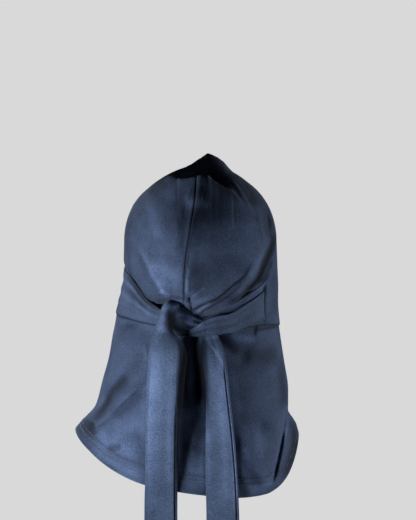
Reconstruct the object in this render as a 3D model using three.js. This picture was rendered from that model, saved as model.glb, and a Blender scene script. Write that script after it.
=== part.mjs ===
// Hijab underscarf cap: a jersey hood with a neck cape and two ties in a half knot at the nape.
// Millimetres. +X is the cap's right, +Y the way its face opening looks, +Z up.
// The origin is the inside top of the crown, where the cap is carried.
import * as THREE from 'three';

// Driving dimensions
const CLOTH = 2.0;             // jersey wall with its loft
const HEM_CLOTH = 2.8;         // turned hem, two layers
const HEM_WIDTH = 18;          // from the cape's edge up to the hem's top stitch row
const SEAM_GAP = 0.7;          // between pieces that are sewn together
const TIE_CLOTH = 3.0;         // double-layer tie
const CROWN_LEFT = 84.6;        // half width of the crown, left and right
const CROWN_RIGHT = 82.5;
const CROWN_BACK = 103;         // depth of the crown behind and before the origin
const CROWN_FRONT = 95;
const CROWN_TOP = 3.4;         // outer top of the plain dome
const DOME_HEIGHT = 84.6;      // from the dome's top down to its widest level
const FACE_HALF_WIDTH = 64;    // oval face opening
const FACE_HALF_HEIGHT = 87;
const FACE_CENTRE_Z = -128;
const UNROLL = 1.6;            // mm along the cloth for one degree round the crown

// Levels below the widest one, from the crown down to the cape's hem.
// z is given at the back, left, right and front; then the half widths and depths.
const LEVELS = [
  { zBack: -81.2, zLeft: -81.2, zRight: -81.2, zFront: -81.2, left: 84.6, right: 82.5, back: 103, front: 95 },
  { zBack: -108, zLeft: -108, zRight: -108, zFront: -108, left: 85.7, right: 83.6, back: 103, front: 94 },
  { zBack: -130, zLeft: -130, zRight: -130, zFront: -132, left: 87.5, right: 84.6, back: 98, front: 92 },
  { zBack: -150, zLeft: -147, zRight: -153, zFront: -152, left: 92, right: 84.8, back: 90, front: 90 },
  { zBack: -167, zLeft: -163, zRight: -176, zFront: -172, left: 96.5, right: 87, back: 84, front: 88 },
  { zBack: -190, zLeft: -187, zRight: -197, zFront: -194, left: 100, right: 90, back: 80, front: 84 },
  { zBack: -215, zLeft: -213, zRight: -219, zFront: -218, left: 104.5, right: 93.5, back: 81, front: 79 },
  { zBack: -245, zLeft: -240, zRight: -243, zFront: -243, left: 112, right: 97.5, back: 88, front: 80 },
  { zBack: -272, zLeft: -260, zRight: -262, zFront: -266, left: 117, right: 98, back: 97, front: 86 },
  { zBack: -295, zLeft: -272, zRight: -275, zFront: -285, left: 122, right: 98.5, back: 105, front: 94 },
  { zBack: -317, zLeft: -284, zRight: -287, zFront: -304, left: 133, right: 106, back: 114, front: 104 },
  { zBack: -337, zLeft: -296, zRight: -300, zFront: -322, left: 143, right: 110, back: 123, front: 114 },
];
const SEAM_LEVEL = 4;

// How late, on the way round to a side, a level takes up that side's height: the right shoulder
// lifts the hem only at its very side, the left one and the front more gently.
const RIGHT_BACK_LATENESS = 9;
const LATENESS = 2.6;

// Lower edge of the crown's bulge, under which the ties are tucked: turn round the cap from the
// centre back in degrees, height, and how far the cloth below is drawn in.
const TIE_LINE = [
  { turn: -108, z: -96, drawnIn: 0 },
  { turn: -88, z: -100, drawnIn: 3 },
  { turn: -63, z: -108, drawnIn: 6 },
  { turn: -52, z: -119, drawnIn: 8 },
  { turn: -34, z: -133, drawnIn: 9.5 },
  { turn: -18, z: -132, drawnIn: 9.5 },
  { turn: -5, z: -139, drawnIn: 9.5 },
  { turn: 4, z: -143, drawnIn: 9 },
  { turn: 25, z: -136, drawnIn: 7 },
  { turn: 53, z: -121, drawnIn: 4 },
  { turn: 66, z: -115, drawnIn: 0 },
];
const TIE_LINE_STEP = 7;       // height over which the bulge turns in
const DRAWN_IN_ENDS_Z = -192;  // the cloth is back on its plain form here,
const DRAWN_IN_FADE = 24;      // and begins to come back this far above

// Main folds: a line on the unrolled cloth from one end to the other, its half width and height.
const FOLDS = [
  { name: 'right sweep', turn0: 74, z0: -84, turn1: 30, z1: -137, bow: -7, width: 6, height: -5 },
  { name: 'right sweep, lower', turn0: 72, z0: -108, turn1: 48, z1: -124, bow: -3, width: 4, height: -3 },
  { name: 'right curtain', turn0: 66, z0: -272, turn1: 60, z1: -345, bow: 0, width: 7, height: -11 },
  { name: 'right curtain edge', turn0: 56, z0: -262, turn1: 51, z1: -340, bow: 0, width: 9, height: 4 },
  { name: 'left shoulder dent', turn0: -72, z0: -278, turn1: -38, z1: -232, bow: 4, width: 7, height: -5 },
  { name: 'left shoulder ridge', turn0: -66, z0: -292, turn1: -36, z1: -250, bow: 4, width: 8, height: 3 },
  { name: 'left neck dent', turn0: -62, z0: -166, turn1: -48, z1: -180, bow: 0, width: 9, height: -4 },
];

// Soft pointed fold on top: a ridge across the crown with a dent behind it and a rear edge.
// Each row is a line across the crown with its plan position at left, middle and right.
const TOP_FOLD = [
  { name: 'ridge', yLeft: -8, yMid: 6, yRight: -12, depth: 17, height: 4.5, from: -42, to: 38 },
  { name: 'point', yLeft: 0, yMid: 6, yRight: 2, depth: 14, height: 8.5, from: -18, to: 28 },
  { name: 'dent', yLeft: -24, yMid: -26, yRight: -50, depth: 11, height: -12, from: -38, to: 42 },
  { name: 'rear edge', yLeft: -46, yMid: -50, yRight: -66, depth: 13, height: 5.5, from: -52, to: 52 },
];
const POINT_X = 7;

// The centre seam leans to the left on its way down: level and lean in degrees.
const SEAM_LEAN = [
  { z: 4, lean: 0 },
  { z: -40, lean: -4.6 },
  { z: -80, lean: -8.2 },
  { z: -105, lean: -10.8 },
  { z: -200, lean: -11.2 },
];

// The part of each tie that lies on the crown: turn, its top and bottom heights, and its lift.
const LEFT_BAND = [
  { turn: -99, zTop: -113, zBottom: -151, lift: 1.6 },
  { turn: -84, zTop: -114, zBottom: -152, lift: 1.8 },
  { turn: -70, zTop: -119.5, zBottom: -154, lift: 1.6 },
  { turn: -57, zTop: -131, zBottom: -156, lift: 1.6 },
  { turn: -45, zTop: -141, zBottom: -158, lift: 1.2 },
];
const RIGHT_BAND = [
  { turn: 53, zTop: -132, zBottom: -163, lift: 1.5 },
  { turn: 43, zTop: -138.5, zBottom: -166, lift: 1.7 },
  { turn: 32, zTop: -146.5, zBottom: -169.5, lift: 2.4 },
  { turn: 22, zTop: -151.5, zBottom: -172, lift: 4 },
];

// The rest of each tie, through the knot and down: centre, direction across the tie, width.
const LEFT_RUN = [
  { x: -47, y: -76, z: -153, acrossX: 0, acrossY: 0, acrossZ: 1, width: 14 },
  { x: -36, y: -84.3, z: -155.6, acrossX: 0, acrossY: 0, acrossZ: 1, width: 12.6 },
  { x: -24, y: -85.5, z: -156, acrossX: 0, acrossY: 0, acrossZ: 1, width: 14 },
  { x: -11, y: -83.5, z: -158, acrossX: 0, acrossY: 0, acrossZ: 1, width: 15 },
  { x: 0, y: -81.5, z: -162, acrossX: 0.5, acrossY: 0, acrossZ: 0.87, width: 14 },
  { x: 6, y: -80.5, z: -169, acrossX: 0.87, acrossY: 0, acrossZ: 0.5, width: 14 },
  { x: 9, y: -81, z: -178, acrossX: 1, acrossY: 0, acrossZ: 0, width: 16 },
  { x: 11.5, y: -87, z: -194, acrossX: 1, acrossY: 0, acrossZ: 0, width: 19 },
  { x: 17, y: -96, z: -226, acrossX: 1, acrossY: 0.1, acrossZ: 0, width: 25 },
  { x: 19.5, y: -104, z: -265, acrossX: 1, acrossY: 0.1, acrossZ: 0, width: 30 },
  { x: 21, y: -114, z: -303, acrossX: 1, acrossY: 0.05, acrossZ: 0, width: 33 },
  { x: 22, y: -125, z: -330, acrossX: 1, acrossY: 0, acrossZ: 0, width: 34 },
  { x: 22.5, y: -130, z: -350, acrossX: 1, acrossY: 0, acrossZ: 0, width: 34 },
  { x: 23, y: -131, z: -405, acrossX: 1, acrossY: 0, acrossZ: 0, width: 34 },
];
const RIGHT_RUN = [
  { x: 18, y: -86.5, z: -164, acrossX: 0, acrossY: 0, acrossZ: 1, width: 18 },
  { x: 6, y: -88.5, z: -167, acrossX: 0.1, acrossY: 0, acrossZ: 1, width: 15 },
  { x: -8, y: -89.5, z: -170, acrossX: 0.1, acrossY: 0, acrossZ: 1, width: 13 },
  { x: -18, y: -87, z: -172.5, acrossX: 0.25, acrossY: 0, acrossZ: 0.95, width: 11 },
  { x: -27, y: -80.5, z: -172, acrossX: 0.75, acrossY: -0.2, acrossZ: 0.65, width: 10 },
  { x: -33, y: -77, z: -162, acrossX: 1, acrossY: -0.4, acrossZ: 0.1, width: 11 },
  { x: -34, y: -77.6, z: -152, acrossX: 1, acrossY: -0.4, acrossZ: 0, width: 13 },
  { x: -34.8, y: -80.5, z: -145, acrossX: 1, acrossY: -0.35, acrossZ: 0, width: 14 },
  { x: -35.6, y: -86.2, z: -141, acrossX: 1, acrossY: -0.3, acrossZ: 0, width: 16 },
  { x: -36.3, y: -91.5, z: -144, acrossX: 1, acrossY: -0.1, acrossZ: 0, width: 18 },
  { x: -37, y: -93, z: -154, acrossX: 1, acrossY: 0, acrossZ: 0, width: 20 },
  { x: -38, y: -92.5, z: -170, acrossX: 1, acrossY: 0, acrossZ: 0, width: 25 },
  { x: -39, y: -94, z: -190, acrossX: 1, acrossY: 0, acrossZ: 0, width: 30 },
  { x: -40.5, y: -97.5, z: -226, acrossX: 1, acrossY: 0, acrossZ: 0, width: 32 },
  { x: -41, y: -103.5, z: -265, acrossX: 1, acrossY: -0.05, acrossZ: 0, width: 33 },
  { x: -41.3, y: -112, z: -300, acrossX: 1, acrossY: -0.1, acrossZ: 0, width: 33.5 },
  { x: -41.6, y: -121.5, z: -325, acrossX: 1, acrossY: -0.1, acrossZ: 0, width: 34 },
  { x: -42, y: -127, z: -345, acrossX: 1, acrossY: 0, acrossZ: 0, width: 34 },
  { x: -42.5, y: -128, z: -405, acrossX: 1, acrossY: 0, acrossZ: 0, width: 34 },
];

// Grid sizes of the faceted walls
const SEAM_COLUMNS = 20;       // from the centre seam to the face opening, along the cape seam
const FACE_COLUMNS = 11;       // up one side of the face opening
const FRONT_COLUMNS = 7;       // from the end of the cape seam to the front centre
const CROWN_ROWS = 19;
const CAPE_ROWS = 13;
const TIE_POINTS_ACROSS = 5;
const TIE_STEPS_PER_ROW = 2;

const degrees = (radians) => (radians * 180) / Math.PI;
const radians = (turn) => (turn * Math.PI) / 180;
const lerp = THREE.MathUtils.lerp;
const clamp = THREE.MathUtils.clamp;
const bell = (distance, width) => Math.exp(-((distance / width) ** 2));

function smoothStep(value) {
  const t = clamp(value, 0, 1);
  return t * t * (3 - 2 * t);
}

// One column of a table read between its rows, which are ordered by the key column.
function readTable(rows, key, column, at) {
  const sign = Math.sign(rows[rows.length - 1][key] - rows[0][key]);
  let i = 0;
  while (i < rows.length - 2 && sign * (at - rows[i + 1][key]) > 0) i += 1;
  const a = rows[i];
  const b = rows[i + 1];
  const t = clamp((at - a[key]) / (b[key] - a[key]), 0, 1);
  return lerp(a[column], b[column], t);
}

// Catmull-Rom blend of four numbers
function curveThrough(before, from, to, after, t) {
  const slopeFrom = (to - before) / 2;
  const slopeTo = (after - from) / 2;
  const t2 = t * t;
  const t3 = t2 * t;
  const hermite = (2 * t3 - 3 * t2 + 1) * from + (t3 - 2 * t2 + t) * slopeFrom;
  return hermite + (-2 * t3 + 3 * t2) * to + (t3 - t2) * slopeTo;
}

// The hood is walked by a turn round it and a run down it: run 0 is the top of the dome,
// 1 its widest level, and each further unit one level of the table.
const RUN_SEAM = 1 + SEAM_LEVEL;
const RUN_HEM = LEVELS.length;

function levelAt(run, column) {
  const last = LEVELS.length - 1;
  const i = Math.min(Math.floor(run - 1), last - 1);
  const rows = [i - 1, i, i + 1, i + 2].map((n) => LEVELS[clamp(n, 0, last)][column]);
  return curveThrough(...rows, run - 1 - i);
}

function hoodForm(turn, run) {
  const sine = Math.sin(radians(turn));
  const cosine = Math.cos(radians(turn));
  const side = sine < 0 ? 'Left' : 'Right';
  const end = cosine > 0 ? 'Back' : 'Front';
  if (run < 1) {
    const tilt = run * Math.PI / 2;
    const x = Math.sin(tilt) * sine * (sine < 0 ? CROWN_LEFT : CROWN_RIGHT);
    const y = -Math.sin(tilt) * cosine * (cosine > 0 ? CROWN_BACK : CROWN_FRONT);
    return new THREE.Vector3(x, y, CROWN_TOP - DOME_HEIGHT * (1 - Math.cos(tilt)));
  }
  const x = sine * levelAt(run, side.toLowerCase());
  const y = -cosine * levelAt(run, end.toLowerCase());
  const lateness = cosine > 0 && sine > 0 ? RIGHT_BACK_LATENESS : LATENESS;
  const sideShare = Math.abs(sine) ** lateness;
  const z = lerp(levelAt(run, `z${end}`), levelAt(run, `z${side}`), sideShare);
  return new THREE.Vector3(x, y, z);
}

// Height of a fold at a place on the unrolled cloth, from its distance to the fold's bowed line
function foldHeight(fold, turn, z) {
  const alongX = (fold.turn1 - fold.turn0) * UNROLL;
  const alongZ = fold.z1 - fold.z0;
  const length = Math.hypot(alongX, alongZ);
  const fromX = (turn - fold.turn0) * UNROLL;
  const fromZ = z - fold.z0;
  const share = (fromX * alongX + fromZ * alongZ) / (length * length);
  const aside = (fromX * alongZ - fromZ * alongX) / length;
  const bowed = aside - fold.bow * 4 * share * (1 - share);
  const fade = smoothStep((share + 0.15) / 0.3) * smoothStep((1.15 - share) / 0.3);
  return fold.height * fade * bell(bowed, fold.width);
}

function topFoldHeight(x, y) {
  let sum = 0;
  for (const fold of TOP_FOLD) {
    const onLeft = x < POINT_X;
    const end = onLeft ? fold.from : fold.to;
    const share = (x - end) / (POINT_X - end);
    const sideY = onLeft ? fold.yLeft : fold.yRight;
    const line = lerp(sideY, fold.yMid, smoothStep(share));
    sum += fold.height * smoothStep(share * 1.2) * bell(y - line, fold.depth);
  }
  return sum;
}

// Outer face of the hood with its folds
function hoodPoint(turn, run) {
  const point = hoodForm(turn, run);
  const outward = new THREE.Vector3(point.x, point.y, Math.max(0, point.z + DOME_HEIGHT - CROWN_TOP));
  outward.normalize();
  let rise = 0;
  for (const fold of FOLDS) rise += foldHeight(fold, turn, point.z);
  const line = readTable(TIE_LINE, 'turn', 'z', turn);
  const drawnIn = readTable(TIE_LINE, 'turn', 'drawnIn', turn);
  const belowLine = smoothStep((line - point.z) / TIE_LINE_STEP);
  const aboveEnd = smoothStep((point.z - DRAWN_IN_ENDS_Z) / DRAWN_IN_FADE);
  rise -= drawnIn * belowLine * aboveEnd;
  point.addScaledVector(outward, rise);
  if (run < 1) point.z += topFoldHeight(point.x, point.y);
  return point;
}

// Outward direction of the folded hood, from its slopes both ways
function hoodOutward(turn, run) {
  const at = Math.max(run, 0.03);
  const stepTurn = 1.5;
  const stepRun = 0.03;
  const across = hoodPoint(turn + stepTurn, at).sub(hoodPoint(turn - stepTurn, at));
  const down = hoodPoint(turn, Math.min(at + stepRun, RUN_HEM));
  down.sub(hoodPoint(turn, at - stepRun));
  return down.cross(across).normalize();
}

// The run at which the hood passes a height, for a turn
function runAtHeight(turn, z) {
  let high = 0;
  let low = RUN_HEM;
  for (let i = 0; i < 30; i += 1) {
    const middle = (high + low) / 2;
    if (hoodForm(turn, middle).z > z) high = middle;
    else low = middle;
  }
  return (high + low) / 2;
}

// A point of the face opening's edge, for an angle from its top (0) down to its bottom (180)
function facePoint(angle, sideSign) {
  const z = FACE_CENTRE_Z + FACE_HALF_HEIGHT * Math.cos(radians(angle));
  const x = FACE_HALF_WIDTH * Math.sin(radians(angle));
  const half = z > LEVELS[0].zLeft
    ? CROWN_LEFT * Math.sqrt(1 - ((z - CROWN_TOP + DOME_HEIGHT) / DOME_HEIGHT) ** 2)
    : levelAt(runAtHeight(90 * sideSign, z), sideSign < 0 ? 'left' : 'right');
  const turn = 180 - degrees(Math.asin(clamp(x / half, 0, 1)));
  return { turn: sideSign * turn, run: runAtHeight(sideSign * turn, z) };
}

// Angle on the face opening at which the crown and the cape meet
const FACE_SEAM_ANGLE = degrees(Math.acos((LEVELS[SEAM_LEVEL].zFront - FACE_CENTRE_Z) / FACE_HALF_HEIGHT));

// A closed body from an outer and an inner grid of points, joined round their borders
function wallBody(outer, inner, ring) {
  const places = [];
  const index = [];
  const known = new Map();
  const numberOf = (point) => {
    const key = point.toArray().map((v) => v.toFixed(3)).join(' ');
    if (!known.has(key)) {
      known.set(key, places.length / 3);
      places.push(...point.toArray());
    }
    return known.get(key);
  };
  const face = (a, b, c) => {
    const [i, j, k] = [numberOf(a), numberOf(b), numberOf(c)];
    if (i !== j && j !== k && k !== i) index.push(i, j, k);
  };
  const quad = (a, b, c, d) => {
    face(a, b, c);
    face(a, c, d);
  };
  const rows = outer.length;
  const columns = outer[0].length;
  const spans = ring ? columns : columns - 1;
  const next = (j) => (j + 1) % columns;
  for (let i = 0; i < rows - 1; i += 1) {
    for (let j = 0; j < spans; j += 1) {
      quad(outer[i][j], outer[i + 1][j], outer[i + 1][next(j)], outer[i][next(j)]);
      quad(inner[i][j], inner[i][next(j)], inner[i + 1][next(j)], inner[i + 1][j]);
    }
    if (!ring) {
      quad(outer[i][0], inner[i][0], inner[i + 1][0], outer[i + 1][0]);
      const last = columns - 1;
      quad(outer[i][last], outer[i + 1][last], inner[i + 1][last], inner[i][last]);
    }
  }
  for (let j = 0; j < spans; j += 1) {
    const end = rows - 1;
    quad(outer[0][j], outer[0][next(j)], inner[0][next(j)], inner[0][j]);
    quad(outer[end][j], inner[end][j], inner[end][next(j)], outer[end][next(j)]);
  }
  return bodyFacingOut(places, index);
}

function bodyFacingOut(places, index) {
  const corner = (i) => new THREE.Vector3().fromArray(places, 3 * i);
  let volume = 0;
  for (let i = 0; i < index.length; i += 3) {
    volume += corner(index[i]).dot(corner(index[i + 1]).cross(corner(index[i + 2])));
  }
  if (volume < 0) {
    for (let i = 0; i < index.length; i += 3) {
      [index[i + 1], index[i + 2]] = [index[i + 2], index[i + 1]];
    }
  }
  const geometry = new THREE.BufferGeometry();
  geometry.setAttribute('position', new THREE.Float32BufferAttribute(places, 3));
  geometry.setIndex(index);
  geometry.computeVertexNormals();
  return geometry;
}

// Places along the seam of crown and cape, from the centre seam (0) to the face opening
function seamPlace(j, sideSign) {
  const corner = facePoint(FACE_SEAM_ANGLE, sideSign);
  const share = j / SEAM_COLUMNS;
  return { turn: corner.turn * share, run: lerp(RUN_SEAM, corner.run, share ** 8) };
}

// The columns lean with the centre seam at the back and stand straight in front.
function leanOf(place, backShare) {
  const lean = readTable(SEAM_LEAN, 'z', 'lean', hoodForm(place.turn, place.run).z);
  return lean * Math.cos((Math.PI / 2) * (1 - backShare)) ** 2;
}

// How far down the cloth a run is, in mm, and the run at such a distance
const LEVEL_DROP = 22;
const DOME_ARC = 140;
const arcOf = (run) => (run < 1 ? run * DOME_ARC : DOME_ARC + (run - 1) * LEVEL_DROP);
const runOf = (arc) => (arc < DOME_ARC ? arc / DOME_ARC : 1 + (arc - DOME_ARC) / LEVEL_DROP);

// Half of the crown: columns fan out from the top to the seam's line and up the face opening
function crownHalf(sideSign) {
  const columns = SEAM_COLUMNS + FACE_COLUMNS;
  const edge = [];
  for (let j = 0; j <= columns; j += 1) {
    const faceShare = (j - SEAM_COLUMNS) / FACE_COLUMNS;
    const onSeam = j <= SEAM_COLUMNS;
    edge.push(onSeam ? seamPlace(j, sideSign) : facePoint(FACE_SEAM_ANGLE * (1 - faceShare), sideSign));
  }
  const outer = [];
  const inner = [];
  for (let i = 0; i <= CROWN_ROWS; i += 1) {
    const share = i / CROWN_ROWS;
    outer.push([]);
    inner.push([]);
    edge.forEach((end, j) => {
      const evenTurn = (sideSign * 180 * j) / columns;
      const run = runOf(share * (arcOf(end.run) - SEAM_GAP / 2));
      const straightTurn = lerp(evenTurn, end.turn, share ** 1.5);
      const turn = straightTurn + leanOf({ turn: straightTurn, run }, 1 - Math.min(1, j / SEAM_COLUMNS));
      const point = hoodPoint(turn, run);
      const outward = i === 0 ? new THREE.Vector3(0, 0, 1) : hoodOutward(turn, run);
      outward.x = j === 0 || j === columns ? 0 : outward.x;
      const wallPoint = point.clone().addScaledVector(outward.normalize(), -CLOTH);
      const gap = (sideSign * SEAM_GAP) / 2;
      outer[i].push(point.setX(point.x + gap));
      inner[i].push(wallPoint.setX(wallPoint.x + gap));
    });
  }
  return wallBody(outer, inner, false);
}

// The cape: a ring from the seam, or from the bottom of the face opening in front, down to the hem
function neckCape() {
  const half = (sideSign) => {
    const places = [];
    for (let j = 0; j <= SEAM_COLUMNS; j += 1) {
      const place = seamPlace(j, sideSign);
      places.push({ turn: place.turn + leanOf(place, 1 - j / SEAM_COLUMNS), run: place.run });
    }
    for (let j = 1; j <= FRONT_COLUMNS; j += 1) {
      places.push(facePoint(lerp(FACE_SEAM_ANGLE, 180, j / FRONT_COLUMNS), sideSign));
    }
    return places;
  };
  const top = [...half(-1).reverse(), ...half(1).slice(1, -1)];
  const outer = [];
  const inner = [];
  for (let i = 0; i <= CAPE_ROWS; i += 1) {
    const share = i / CAPE_ROWS;
    outer.push([]);
    inner.push([]);
    top.forEach(({ turn, run: topRun }) => {
      const run = lerp(topRun + SEAM_GAP / 2 / LEVEL_DROP, RUN_HEM, share);
      const aboveHem = (RUN_HEM - run) * LEVEL_DROP;
      const wall = lerp(HEM_CLOTH, CLOTH, smoothStep((aboveHem - HEM_WIDTH) / 4 + 1));
      const point = hoodPoint(turn, run);
      outer[i].push(point);
      inner[i].push(point.clone().addScaledVector(hoodOutward(turn, run), -wall));
    });
  }
  return wallBody(outer, inner, true);
}

// A row of points across the tie where it lies on the crown
function bandRow(row) {
  const points = [];
  for (let k = 0; k < TIE_POINTS_ACROSS; k += 1) {
    const z = lerp(row.zBottom, row.zTop, k / (TIE_POINTS_ACROSS - 1));
    const run = runAtHeight(row.turn, z);
    const outward = hoodOutward(row.turn, run);
    points.push(hoodPoint(row.turn, run).addScaledVector(outward, row.lift + TIE_CLOTH / 2));
  }
  return points;
}

// A row of points across the tie where it hangs free
function runRow(row) {
  const across = new THREE.Vector3(row.acrossX, row.acrossY, row.acrossZ).normalize();
  const centre = new THREE.Vector3(row.x, row.y, row.z);
  const points = [];
  for (let k = 0; k < TIE_POINTS_ACROSS; k += 1) {
    const aside = row.width * (k / (TIE_POINTS_ACROSS - 1) - 0.5);
    points.push(centre.clone().addScaledVector(across, aside));
  }
  return points;
}

function refineRows(rows) {
  const fine = [];
  const last = rows.length - 1;
  for (let i = 0; i < last; i += 1) {
    const near = [i - 1, i, i + 1, i + 2].map((n) => rows[clamp(n, 0, last)]);
    for (let step = 0; step < TIE_STEPS_PER_ROW; step += 1) {
      const t = step / TIE_STEPS_PER_ROW;
      fine.push(rows[i].map((_, k) => new THREE.Vector3(
        curveThrough(...near.map((row) => row[k].x), t),
        curveThrough(...near.map((row) => row[k].y), t),
        curveThrough(...near.map((row) => row[k].z), t),
      )));
    }
  }
  fine.push(rows[last]);
  return fine;
}

// A tie as a flat wall about its middle surface
function tie(band, run) {
  const rows = refineRows([...band.map(bandRow), ...run.map(runRow)]);
  const outer = [];
  const inner = [];
  const last = rows.length - 1;
  rows.forEach((row, i) => {
    outer.push([]);
    inner.push([]);
    row.forEach((point, k) => {
      const along = rows[Math.min(i + 1, last)][k].clone().sub(rows[Math.max(i - 1, 0)][k]);
      const across = row[Math.min(k + 1, TIE_POINTS_ACROSS - 1)].clone().sub(row[Math.max(k - 1, 0)]);
      const offset = across.cross(along).setLength(TIE_CLOTH / 2);
      outer[i].push(point.clone().add(offset));
      inner[i].push(point.clone().sub(offset));
    });
  });
  return wallBody(outer, inner, false);
}

function piece(name, geometry, color) {
  const material = new THREE.MeshStandardMaterial({ color, roughness: 0.92, metalness: 0 });
  const mesh = new THREE.Mesh(geometry, material);
  mesh.name = name;
  return mesh;
}

const NAVY = 0x2b3650;
const cap = new THREE.Group();
cap.add(piece('crown_left', crownHalf(-1), NAVY));
cap.add(piece('crown_right', crownHalf(1), NAVY));
cap.add(piece('neck_cape', neckCape(), NAVY));
cap.add(piece('tie_left', tie(LEFT_BAND, LEFT_RUN), NAVY));
cap.add(piece('tie_right', tie(RIGHT_BAND, RIGHT_RUN), NAVY));

export default cap;
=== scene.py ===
import math
from collections import namedtuple

import bpy
import numpy as np
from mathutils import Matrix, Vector


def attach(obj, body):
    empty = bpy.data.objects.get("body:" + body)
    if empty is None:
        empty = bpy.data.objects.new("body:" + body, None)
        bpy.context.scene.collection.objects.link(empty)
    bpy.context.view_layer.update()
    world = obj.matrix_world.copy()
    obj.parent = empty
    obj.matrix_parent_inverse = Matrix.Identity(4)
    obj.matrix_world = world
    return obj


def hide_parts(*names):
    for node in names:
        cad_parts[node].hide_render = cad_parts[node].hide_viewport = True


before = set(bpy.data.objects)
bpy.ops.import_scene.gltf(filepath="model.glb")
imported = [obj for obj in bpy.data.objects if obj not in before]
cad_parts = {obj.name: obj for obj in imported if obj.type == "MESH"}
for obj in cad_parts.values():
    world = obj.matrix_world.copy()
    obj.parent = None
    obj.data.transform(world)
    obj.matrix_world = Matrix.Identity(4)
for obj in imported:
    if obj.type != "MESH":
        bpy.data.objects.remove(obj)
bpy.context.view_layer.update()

MM = 0.001

# Camera
CAMERA_TARGET = Vector((7.28, 0.0, -103.04)) * MM
CAMERA_DISTANCE = 1.8
CAMERA_ELEVATION = math.radians(7)
PICTURE_HEIGHT = 0.5824         # what the picture's height covers at the target, in metres
SENSOR = 36.0

# Sizes of the cloth, in mm
CLOTH = 1.3                     # jersey wall
SEAM_GAP = 0.16                 # between pieces that are sewn together
SEAM_DEPTH = 1.7                # how far the edges of a seam roll in
SEAM_ROLL = 0.8
ALLOWANCE_DEPTH = 2.4           # the seam allowance goes in, then lies flat behind the other piece
ALLOWANCE = 6.0
TIE_CLOTH = 1.9                 # two layers, pressed flat
HEM_WIDTH = 21.5
STITCH_ROWS = (20.0, 14.0)      # above the cape's edge
CROWN_LEFT = 84.6
CROWN_RIGHT = 82.5
CROWN_BACK = 103.0
CROWN_FRONT = 95.0
CROWN_TOP = 3.4
DOME_HEIGHT = 84.6
FACE_HALF_WIDTH = 64.0
FACE_HALF_HEIGHT = 87.0
FACE_CENTRE_Z = -128.0
UNROLL = 1.6                    # mm along the cloth for one degree round the cap
DOME_ARC = 140.0                # down the cloth from the top to the widest level
LEVEL_DROP = 22.0               # down the cloth from one level to the next
MERGE_DISTANCE = 0.02

# Levels from the crown's widest one down to the cape's hem
Level = namedtuple("Level", "z_back z_left z_right z_front left right back front")
LEVELS = [Level(*row) for row in (
    (-81.2, -81.2, -81.2, -81.2, 84.6, 82.5, 103, 95),
    (-108, -108, -108, -108, 85.7, 83.6, 103, 94),
    (-130, -130, -130, -132, 87.5, 84.6, 98, 92),
    (-150, -147, -153, -152, 92, 84.8, 90, 90),
    (-167, -163, -176, -172, 96.5, 87, 84, 88),
    (-190, -187, -197, -194, 100, 90, 80, 84),
    (-215, -213, -219, -218, 104.5, 93.5, 81, 79),
    (-245, -240, -243, -243, 112, 97.5, 88, 80),
    (-272, -260, -262, -266, 117, 98, 97, 86),
    (-295, -272, -275, -285, 122, 98.5, 105, 94),
    (-317, -284, -287, -304, 133, 106, 114, 104),
    (-337, -296, -300, -322, 143, 110, 123, 114),
)]
SEAM_RUN = 5.0                  # the level of the seam between crown and cape
HEM_RUN = float(len(LEVELS))

# Lower edge of the crown's bulge, under which the ties are tucked
TieLine = namedtuple("TieLine", "turn z drawn_in")
TIE_LINE = [TieLine(*row) for row in (
    (-125, -98, 0), (-100, -104, 0.6), (-84, -107, 1.6), (-63.5, -113, 8), (-52, -125, 9),
    (-43.5, -133.5, 9.5), (-34, -141, 9.5), (-23, -136, 9.5), (-13, -141, 9.5), (-5, -150, 9.5),
    (4, -153, 8), (12, -150, 5.8), (25, -142, 4), (37, -134, 3), (53, -125, 1.8), (66, -118, 0),
)]
TIE_LINE_Z = -130.0             # about its height
CAPE_SEAM_Z = -167.0            # about the height of the seam below it
DRAWN_IN_ENDS = -192.0
DRAWN_IN_FADE = 24.0

# The centre seam leans to the left on its way down.
Lean = namedtuple("Lean", "z turn")
SEAM_LEAN = [Lean(*row) for row in (
    (4, -5), (-4, -6), (-19, -4.6), (-34, -4.6), (-51, -6.2), (-70, -8.2), (-93, -10.8),
    (-107, -11.5), (-131, -11.8), (-200, -11.2),
)]

# The cape hangs lower behind on the right than its levels say.
HemDrop = namedtuple("HemDrop", "turn drop")
HEM_DROP = [HemDrop(*row) for row in (
    (-180, 0), (-95, 0), (-60, -3), (-10, 0), (20, 8), (42, 10), (60, 7), (85, 1), (180, 0),
)]


def smooth_step(value):
    t = np.clip(value, 0, 1)
    return t * t * (3 - 2 * t)


def bell(distance, width):
    return np.exp(-((distance / width) ** 2))


def read_table(rows, column, at):
    """One column of a table at values of its first column, which may rise or fall."""
    table = sorted(rows)
    keys = [row[0] for row in table]
    return np.interp(at, keys, [getattr(row, column) for row in table])


def spline(a, b, c, d, t):
    """From b to c along a smooth line through four points or values."""
    return (
        (2 * t**3 - 3 * t**2 + 1) * b + (t**3 - 2 * t**2 + t) * (c - a) / 2
        + (3 * t**2 - 2 * t**3) * c + (t**3 - t**2) * (d - b) / 2
    )


def curve_through(points, steps):
    """A smooth line through a list of points, with a number of steps between each two."""
    p = np.asarray(points, float)
    p = np.vstack([2 * p[0] - p[1], p, 2 * p[-1] - p[-2]])
    t = (np.arange(steps) / steps)[:, None]
    return np.vstack([*(spline(*four, t) for four in zip(p, p[1:], p[2:], p[3:])), p[-2]])


def lengths_along(path):
    """Length from a path's start to each of its points."""
    return np.concatenate([[0], np.cumsum(np.linalg.norm(np.diff(path, axis=0), axis=1))])


def points_at(at, lengths, path):
    """Points of a path at some lengths along it."""
    return np.stack([np.interp(at, lengths, path[:, k]) for k in range(3)], 1)


def unit(vectors):
    return vectors / np.maximum(np.linalg.norm(vectors, axis=-1, keepdims=True), 1e-9)


def ends_fade(along, share):
    """0 at both ends of a line and 1 between, reached over a share of it."""
    return smooth_step(along / share) * smooth_step((1 - along) / share)


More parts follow.
